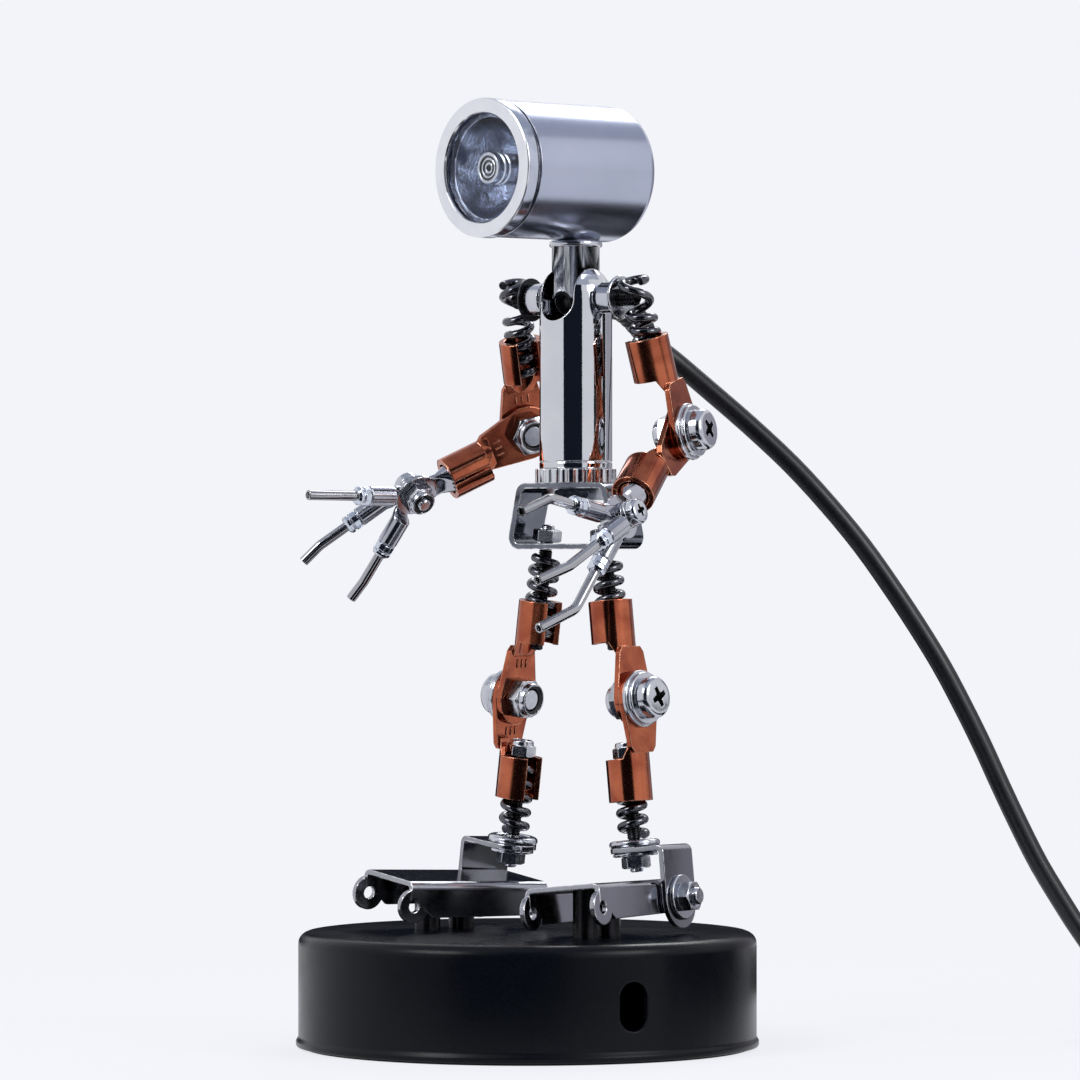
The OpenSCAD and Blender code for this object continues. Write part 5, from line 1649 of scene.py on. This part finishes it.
@dataclass
class LugMarks:
    """Three short raised bars on each lug's neck, and the closed seam of the forearms' barrels.

    Attributes:
        face_x: Height of the neck's face over the lug's axis.
        proud: Height of a bar.
        at_z: Middle of the bars, from the lug's open end.
        pitch: Distance between bars.
        bar: Half a bar's width and length.
        barrel: Inside and outside radius of the closed part.
        closed_to: Length of the closed part.
        open_from: Angle from which a lug's barrel is open, in degrees.
        seam_to: Angle at which the narrow seam starts.
    """

    face_x: float = 3.55
    proud: float = 0.24
    at_z: float = 14.3
    pitch: float = 1.5
    bar: Flat = (0.26, 0.95)
    barrel: Flat = (3.56, 4.73)
    closed_to: float = 9.0
    open_from: float = 149.0
    seam_to: float = 176.0

    def add(self, shape: Shape, at: Matrix) -> None:
        """Adds the bars of one lug.

        Args:
            shape: Mesh that they go into.
            at: Frame of the lug, +Z from its open end to its ring.
        """
        for k in (-1, 0, 1):
            loops = []
            for x, smaller in ((0.1, 0.0), (-self.proud * 0.5, 0.0), (-self.proud, 0.1)):
                outline = rounded_box(self.bar[0] - smaller, self.bar[1] - smaller, 0.2, 4)
                loops.append([(self.face_x + x, y + k * self.pitch, self.at_z + z) for y, z in outline])
            shape.rings(loops[::-1], at)

    def close(self, shape: Shape, at: Matrix) -> None:
        """Closes a barrel's open side but for a narrow seam.

        Args:
            shape: Mesh that it goes into.
            at: Frame of the lug.
        """
        (inner, outer), low, high, steps = self.barrel, 0.02, self.closed_to, 6
        for first, last in ((self.open_from, self.seam_to), (360 - self.seam_to, 360 - self.open_from)):
            loops = []
            for i in range(steps + 1):
                a = math.radians(first + (last - first) * i / steps)
                loops.append([(r * math.cos(a), r * math.sin(a), z)
                              for r, z in ((inner, low), (outer, low), (outer, high), (inner, high))])
            shape.rings(loops[::-1], at)

    def build(self) -> None:
        """Makes the bars of all eight lugs and closes the forearms."""
        legs = Shape()
        down = Matrix.Diagonal((1, 1, -1, 1))
        for side in Side:
            leg = FIGURE.leg(side)
            self.add(legs, leg @ move(0, 0, FIGURE.ankle_gap))
            self.add(legs, leg @ move(FIGURE.thigh_shift, 0, FIGURE.thigh_at) @ down)
            upper, fore = Shape(), Shape()
            self.add(upper, FIGURE.upper_arm(side) @ move(0, 0, -FIGURE.shoulder_gap) @ down)
            self.add(fore, FIGURE.forearm_mouth(side))
            self.close(fore, FIGURE.forearm_mouth(side))
            for shape, name in ((upper, "upper_arm"), (fore, "forearm")):
                made = shape.build(f"{side.word}_{name}_marks", ["copper_satin"], f"{side.word}_{name}")
        made = legs.build("leg_lug_marks", ["copper_satin"], "root")


# -------- worked frame parts

def cut_copy(node: str, tool: Shape, finishes: tuple[str, str], body: str = "root",
             sharp: float = 30.0) -> bpy.types.Object:
    """Cuts more away from a part of the frame, on a copy that stands for it.

    Args:
        node: Name of the part.
        tool: What is cut away, in millimetres.
        finishes: Names of the finishes of the part and of the new faces.
        body: Body that carries it.
        sharp: Edges over this angle stay sharp, in degrees.

    Returns:
        The new piece.
    """
    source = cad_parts[node]
    mesh = source.data.copy()
    mesh.transform(source.matrix_world)
    mesh.materials.clear()
    piece = bpy.data.objects.new(f"{node}_dressed", mesh)
    cutter_mesh = bpy.data.meshes.new("cutter")
    cutter_mesh.from_pydata([c * MM for c in tool.corners], [], tool.faces)
    for item in (mesh, cutter_mesh):
        for finish in finishes:
            item.materials.append(FINISHES[finish])
    mesh.polygons.foreach_set("material_index", [0] * len(mesh.polygons))
    cutter_mesh.polygons.foreach_set("material_index", [1] * len(cutter_mesh.polygons))
    cutter = bpy.data.objects.new("cutter", cutter_mesh)
    for item in (piece, cutter):
        place(item)
    cut = piece.modifiers.new("cut", "BOOLEAN")
    cut.object, cut.operation, cut.solver = cutter, "DIFFERENCE", "EXACT"
    done = bpy.data.meshes.new_from_object(piece.evaluated_get(bpy.context.evaluated_depsgraph_get()))
    piece.modifiers.clear()
    piece.data = done
    bpy.data.objects.remove(cutter)
    bpy.data.meshes.remove(mesh)
    done.polygons.foreach_set("use_smooth", [True] * len(done.polygons))
    done.set_sharp_from_angle(angle=math.radians(sharp))
    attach(piece, body)
    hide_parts(node)
    LOG.info("%s: %d faces after the cut", piece.name, len(done.polygons))
    return piece


@dataclass
class Brackets:
    """Ankle brackets, open on the inner side with a rounded end, and the neck's arched recesses.

    Attributes:
        end_r: Radius of a bracket's rounded end.
        recess_w: Width of a recess.
        recess_from: Distance of its floor from the neck's axis.
        recess_rise: Height of its top over the shoulder axle.
    """

    end_r: float = 5.3
    recess_w: float = 5.2
    recess_from: float = 3.21
    recess_rise: float = 1.5

    def build(self) -> None:
        """Cuts the brackets and the neck."""
        for side in Side:
            tool = Shape()
            angles = [math.radians(a) for a in range(-90, 91, 9)]
            arc = [(-self.end_r * math.cos(a), self.end_r * math.sin(a)) for a in angles]
            outline = [(-20, -12), (6, -12), (6, -7), *arc, (6, 7), (6, 12), (-20, 12)]
            box = [[(x, y, z) for x, y in outline] for z in (-30, 5)]
            tool.rings(box, FIGURE.foot(side))
            finishes = ("bracket_nickel", "bracket_nickel")
            cut_copy(f"{side.word}_ankle_bracket", tool, finishes)
        tool = Shape()
        half, top, far = self.recess_w / 2, self.recess_rise, 12.0
        angles = [math.radians(a) for a in range(0, 181, 10)]
        arch = [(-half, -far), (half, -far)]
        arch += [(half * math.cos(a), top - half + half * math.sin(a)) for a in angles]
        for angle in (0, 180):
            loops = [[(x, y, z) for x, z in arch] for y in (far, self.recess_from)]
            tool.rings(loops, FIGURE.robot() @ move(0, 0, FIGURE.axle_z) @ turn("Z", angle))
        # The faces cut into the neck get the second finish: painted shade in the recesses.
        cut_copy("neck_post", tool, ("neck_turned", "dark_steel_and_painted_shade"), "neck", 35)


@dataclass
class Head:
    """Bezel ring with its groove, the reflector and the cover glass, in millimetres from the head's middle.

    Attributes:
        bezel_r: Outside radius of the bezel.
        hole_r: Radius of its opening.
        front: Its front face.
        seat_at: Where it meets the shell.
        spigot_r: Radius of the part that sits in the shell.
        spigot_at: Where that part ends.
        tray_at: Back of the reflector.
        tray_front: Its front.
        bowl: Radius of the bowl at its floor and at its mouth.
        post_r: Radius of the middle post.
        glass: Radius of the glass, its back and its front.
    """

    bezel_r: float = 15.0
    hole_r: float = 11.75
    front: float = 27.7
    seat_at: float = 24.03
    spigot_r: float = 13.07
    spigot_at: float = 22.73
    tray_at: float = 14.17
    tray_front: float = 25.3
    bowl: Flat = (3.6, 11.0)
    post_r: float = 3.5
    glass: tuple[float, float, float] = (11.6, 25.9, 26.6)

    def bezel(self) -> None:
        """Makes the turned ring, with rounded edges and a step inside."""
        shape = Shape()
        r, hole, front, seat = self.bezel_r, self.hole_r, self.front, self.seat_at
        face = [(hole + 0.25, front), (r - 0.45, front), (r - 0.3, front - 0.05), (r - 0.12, front - 0.16),
                (r - 0.02, front - 0.34)]
        side = [(r - 0.02, front - 0.34), (r, front - 0.5), (r, seat + 0.75), (r - 0.06, seat + 0.68)]
        groove = [(r - 0.06, seat + 0.68), (r - 0.5, seat + 0.6), (r - 0.5, seat)]
        inside = [(r - 0.5, seat), (self.spigot_r, seat), (self.spigot_r, self.spigot_at),
                  (hole - 0.6, self.spigot_at), (hole - 0.6, 23.6), (hole - 0.1, 24.0), (hole, 24.2),
                  (hole, front - 0.4)]
        lip = [(hole, front - 0.4), (hole + 0.25, front)]
        at = FIGURE.head()
        # The face and lip take the turned metal; the side and the inside take its painted-shade copies, and
        # the groove near-black painted shade.
        for outline, paint in ((face, 0), (side, 1), (groove, 3), (inside, 2), (lip, 0)):
            loops = [circle(q, z, 120) for q, z in outline[::-1]]
            shape.rings(loops, at, paint, cap=(False, False))
        finishes = ["bezel_turned", "bezel_side_painted_shade", "bezel_inner_painted_shade", "dark_steel_and_painted_shade"]
        made = shape.build("head_bezel_dressed", finishes, "head", sharp=28)
        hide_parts("head_bezel")

    def tray(self) -> None:
        """Makes the fluted reflector bowl with three cells and a ringed middle post."""
        shape = Shape()
        at = FIGURE.head()
        sides, steps = 144, 14
        floor_r, mouth_r = self.bowl
        loops = []
        for i in range(steps + 1):
            u = i / steps
            z = self.tray_at + 0.4 + (self.tray_front - 0.6 - self.tray_at) * u
            radius = floor_r + (mouth_r - floor_r) * (u ** 0.55)
            loop = []
            for a in around(sides):
                cell = 0.9 * math.sin(math.pi * u) * math.cos(3 * a + 0.6)
                flute = 0.14 * math.sin(math.pi * min(1, u * 1.4)) * math.cos(24 * a)
                q = radius + cell + flute
                loop.append((q * math.cos(a), q * math.sin(a), z))
            loops.append(loop)
        rim = ((11.6, self.tray_front - 0.2), (11.12, 24.1), (11.1, 22.5), (13.0, 22.3), (13.0, self.tray_at))
        shape.rings([*loops, *(circle(q, z, sides) for q, z in rim)], at, 0, closed=True)
        top, full = self.tray_front + 0.3, self.post_r
        slim = full - 0.3
        foot = self.tray_at + 0.3
        flank = ((full, 3.6), (slim, 3.4), (slim, 3.0), (full, 2.8), (full, 2.2), (slim, 2.0), (slim, 1.6),
                 (full, 1.4), (full, 0.3), (3.3, 0), (2.75, 0), (2.6, 0.35), (2.3, 0.4), (2.15, 0.15),
                 (1.8, 0.15), (1.65, 0.4), (1.35, 0.45), (1.2, 0.25), (0.8, 0.25), (0.65, 0.5), (AXIS_R, 0.5))
        post = [(AXIS_R, foot), (full, foot), *((q, top - down) for q, down in flank)]
        shape.revolve(post, at, 1, 64, closed=False)
        low, high = top - 0.44, top - 0.08
        # Thin near-black rings in the post's grooves: painted shade.
        for far, near in ((2.55, 2.35), (1.6, 1.4), (0.6, AXIS_R)):
            shape.revolve([(near, low), (far, low), (far, high), (near, high)], at, 2)
        for k in range(3):
            ring = at @ turn("Z", 120 * k + 62) @ move(7.6, 0, 0)
            cup = self.tray_at + 3.4
            shape.revolve([(1.7, cup - 2.5), (2.5, cup - 2.5), (2.5, cup + 0.6), (2.35, cup + 0.8),
                           (2.0, cup + 0.8), (1.8, cup + 0.5), (1.7, cup - 1.5)], ring, 1, 32)
        made = shape.build("lens_tray_dressed", ["reflector", "zinc_plate", "dark_steel_and_painted_shade"], "head", sharp=40)
        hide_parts("lens_tray")

    def cover(self) -> None:
        """Makes the clear disc that closes the front."""
        shape = Shape()
        r, low, high = self.glass
        edge = 0.1
        shape.revolve([(AXIS_R, low), (r - edge, low), (r, low + edge), (r, high - edge), (r - edge, high),
                       (AXIS_R, high)], FIGURE.head(), segments=96, closed=False)
        made = shape.build("head_glass_dressed", ["lens_glass"], "head", sharp=30)
        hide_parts("head_glass")

    def build(self) -> None:
        """Makes the head's own pieces."""
        self.bezel()
        self.tray()
        self.cover()


# -------- frame parts

NODE_FINISH = {
    "base_shell": "black_powder_coat", "base_weight": "weight_iron", "base_pad": "foam_pad",
    "right_foot": "foot_nickel", "left_foot": "foot_nickel",
    "right_ankle_bracket": "bracket_nickel", "left_ankle_bracket": "bracket_nickel",
    "pelvis_frame": "pelvis_steel", "waist_ring": "chrome", "torso_tube": "chrome",
    "neck_post": "neck_turned", "head_shell": "head_anodised", "head_bezel": "bezel_turned",
    "head_glass": "lens_glass",
    "lens_tray": "reflector", "led_board": "led_board", "foot_spacers": "dark_steel_and_painted_shade",
    "right_palm_lug": "tin_plate", "left_palm_lug": "tin_plate",
}


def dress_nodes() -> None:
    """Gives every CAD node its finish."""
    for name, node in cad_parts.items():
        finish = NODE_FINISH.get(name)
        if finish is None:
            if "finger" in name:
                finish = "tin_plate"
            elif name.endswith("_lug"):
                finish = "copper_satin"
            else:
                finish = "zinc_plate"
        node.data.materials.clear()
        node.data.materials.append(FINISHES[finish])
        LOG.info("%s: %s", name, finish)


# -------- studio

@dataclass
class Studio:
    """Pale floor, soft light and the camera.

    Attributes:
        azimuth: Direction of the camera from the lamp, in degrees.
        distance: Its distance from the axis, in millimetres.
        centre_x: Its shift to the right.
        eye_z: Its height.
        lens: Its focal length.
        background: Colour of the surroundings.
        floor_half: Half the floor's width, in metres.
    """

    azimuth: float = 39.0
    distance: float = 1333.0
    centre_x: float = 2.7
    eye_z: float = 109.5
    lens: float = 205.7
    background: Colour = (0.896, 0.905, 0.947, 1.0)
    floor_half: float = 12.0

    def camera(self) -> None:
        """Level camera at the robot's front left."""
        a = math.radians(self.azimuth)
        back = Vector((math.sin(a), -math.cos(a), 0))
        right = Vector((math.cos(a), math.sin(a), 0))
        data = bpy.data.cameras.new("camera")
        data.lens, data.sensor_width = self.lens, 36.0
        data.clip_start, data.clip_end = 0.05, 20.0
        camera = bpy.data.objects.new("camera", data)
        place(camera)
        eye = back * self.distance + right * self.centre_x + Vector((0, 0, self.eye_z))
        camera.location = eye * MM
        camera.rotation_mode = "QUATERNION"
        camera.rotation_quaternion = (-back).to_track_quat("-Z", "Y")
        bpy.context.scene.camera = camera

    def seen(self, wire: Wire) -> Socket:
        """Makes a mask of the rays that see the background itself: camera, mirror and glass rays.

        Args:
            wire: The tree that it goes into.

        Returns:
            The mask.
        """
        path = wire.node("ShaderNodeLightPath")
        mask = wire.math("MAXIMUM", path.outputs["Is Camera Ray"], path.outputs["Is Glossy Ray"])
        return wire.math("MAXIMUM", mask, path.outputs["Is Transmission Ray"])

    def world(self) -> None:
        """Even pale surroundings."""
        world = bpy.data.worlds.new("studio")
        wire = blank(world)
        shown = wire.node("ShaderNodeBackground", {"Color": self.background, "Strength": 1.0})
        fill = wire.node("ShaderNodeBackground", {"Color": (0.9, 0.93, 1.0, 1.0), "Strength": 0.55})
        mixed = wire.node("ShaderNodeMixShader",
                          {0: self.seen(wire), 1: fill.outputs[0], 2: shown.outputs[0]})
        wire.node("ShaderNodeOutputWorld", {"Surface": mixed.outputs[0]})
        bpy.context.scene.world = world

    def floor(self) -> None:
        """Wide pale floor that keeps a soft shadow."""
        material = bpy.data.materials.new("floor_pale")
        wire = blank(material)
        plain = wire.node("ShaderNodeBsdfDiffuse", {"Color": (0.8, 0.81, 0.85, 1.0)})
        glow = wire.node("ShaderNodeEmission", {"Color": self.background, "Strength": 1.0})
        coords = wire.node("ShaderNodeTexCoord")
        away = wire.node("ShaderNodeVectorMath", {0: coords.outputs["Object"]}, operation="LENGTH")
        faded = wire.ramp(away.outputs["Value"], 0.15, 0.5, (0.85, 1.0))
        amount = wire.math("MULTIPLY", self.seen(wire), faded)
        mixed = wire.node("ShaderNodeMixShader", {0: amount, 1: plain.outputs[0], 2: glow.outputs[0]})
        wire.node("ShaderNodeOutputMaterial", {"Surface": mixed.outputs[0]})
        mesh = bpy.data.meshes.new("floor")
        half = self.floor_half
        corners = [(-half, -half, 0), (half, -half, 0), (half, half, 0), (-half, half, 0)]
        mesh.from_pydata(corners, [], [(0, 1, 2, 3)])
        mesh.materials.append(material)
        floor = bpy.data.objects.new("floor", mesh)
        place(floor)

    def card(self, name: str, azimuth: float, away: float, width: float, height: float, z: float,
             colour: Point, flat: bool = False) -> None:
        """Card that only reflections show, upright or lying flat.

        Args:
            name: Name of the card.
            azimuth: Its direction from the lamp, in degrees, 0 at -Y and 90 at +X.
            away: Its distance in metres.
            width: Its width in metres, across that direction.
            height: Its height in metres, or its depth if it lies flat.
            z: Height of its middle in metres.
            colour: Its brightness in red, green and blue, 0 for black.
            flat: Whether it lies flat.
        """
        material = bpy.data.materials.new(name)
        wire = blank(material)
        glow = wire.node("ShaderNodeEmission", {"Color": (*colour, 1.0), "Strength": 1.0})
        wire.node("ShaderNodeOutputMaterial", {"Surface": glow.outputs[0]})
        mesh = bpy.data.meshes.new(name)
        w, h = width / 2, height / 2
        corners = [(-w, 0, -h), (w, 0, -h), (w, 0, h), (-w, 0, h)]
        if flat:
            corners = [(x, y, 0) for x, _, y in corners]
        mesh.from_pydata(corners, [], [(0, 1, 2, 3)])
        mesh.materials.append(material)
        card = bpy.data.objects.new(name, mesh)
        a = math.radians(azimuth)
        card.location = (away * math.sin(a), -away * math.cos(a), z)
        card.rotation_euler = (0, 0, a)
        for kind in ("camera", "diffuse", "shadow", "transmission", "volume_scatter"):
            setattr(card, f"visible_{kind}", False)
        place(card)

    def lamp(self, name: str, azimuth: float, elevation: float, away: float, size: float,
             power: float) -> None:
        """Places a square soft box that faces the robot.

        Args:
            name: Name of the lamp.
            azimuth: Its direction, as a card's.
            elevation: Its height over the desk, in degrees.
            away: Its distance in metres.
            size: Its width in metres.
            power: Its power in watts.
        """
        data = bpy.data.lights.new(name, "AREA")
        data.shape, data.size, data.energy = "SQUARE", size, power
        lamp = bpy.data.objects.new(name, data)
        a, e = math.radians(azimuth), math.radians(elevation)
        way = Vector((math.sin(a) * math.cos(e), -math.cos(a) * math.cos(e), math.sin(e)))
        lamp.location = way * away + Vector((0, 0, 0.11))
        lamp.rotation_mode = "QUATERNION"
        lamp.rotation_quaternion = (-way).to_track_quat("-Z", "Y")
        place(lamp)

    def build(self) -> None:
        """Sets up the whole studio."""
        self.camera()
        self.world()
        self.floor()
        self.lamp("key", azimuth=-10, elevation=40, away=1.2, size=0.6, power=9)
        self.lamp("fill", azimuth=95, elevation=25, away=1.2, size=0.5, power=5)
        self.lamp("rim", azimuth=200, elevation=45, away=1.2, size=0.5, power=5)
        navy, dusk, black = (0.010, 0.013, 0.022), (0.42, 0.41, 0.47), (0.012, 0.013, 0.016)
        self.card("card_front", azimuth=30, away=0.7, width=0.80, height=1.4, z=0.25, colour=navy)
        self.card("card_side_right", azimuth=107, away=3.0, width=0.94, height=0.14, z=0.22, colour=black)
        self.card("card_side_back", azimuth=140, away=3.0, width=0.84, height=0.14, z=0.22, colour=black)
        self.card("card_side_near", azimuth=123, away=0.12, width=0.11, height=0.024, z=0.012,
                  colour=black)
        self.card("card_rear", azimuth=185, away=0.7, width=0.96, height=0.50, z=0.10, colour=dusk)
        self.card("card_rear_low", azimuth=217, away=0.69, width=0.9, height=0.17, z=0.085,
                  colour=(0.010, 0.013, 0.02))
        self.card("card_strip", azimuth=145, away=0.7, width=0.30, height=0.13, z=0.79,
                  colour=(0.40, 0.42, 0.52))
        self.card("card_rear_near", azimuth=219, away=0.10, width=0.16, height=0.055, z=0.0525,
                  colour=navy)
        self.card("card_over", azimuth=30, away=0, width=1.4, height=1.4, z=0.95,
                  colour=(0.50, 0.54, 0.64), flat=True)
        self.card("card_floor", azimuth=30, away=0.34, width=0.5, height=0.5, z=0.002, colour=navy,
                  flat=True)
        self.card("card_floor_left", azimuth=152, away=0.215, width=0.15, height=0.14, z=0.002,
                  colour=(0.003, 0.004, 0.008), flat=True)
        self.card("card_floor_rear", azimuth=192, away=0.235, width=0.15, height=0.18, z=0.002,
                  colour=(0.003, 0.004, 0.008), flat=True)


def main() -> None:
    """Builds the lamp around the frame, the camera and cord first."""
    logging.basicConfig(level=logging.INFO, format="%(message)s")
    bpy.context.scene.view_settings.view_transform = "Standard"
    Studio().build()
    Cord().build()
    dress_nodes()
    Springs().build()
    Fasteners().build()
    Fingers().build()
    LugMarks().build()
    Brackets().build()
    Head().build()


if __name__ == "__main__":
    main()
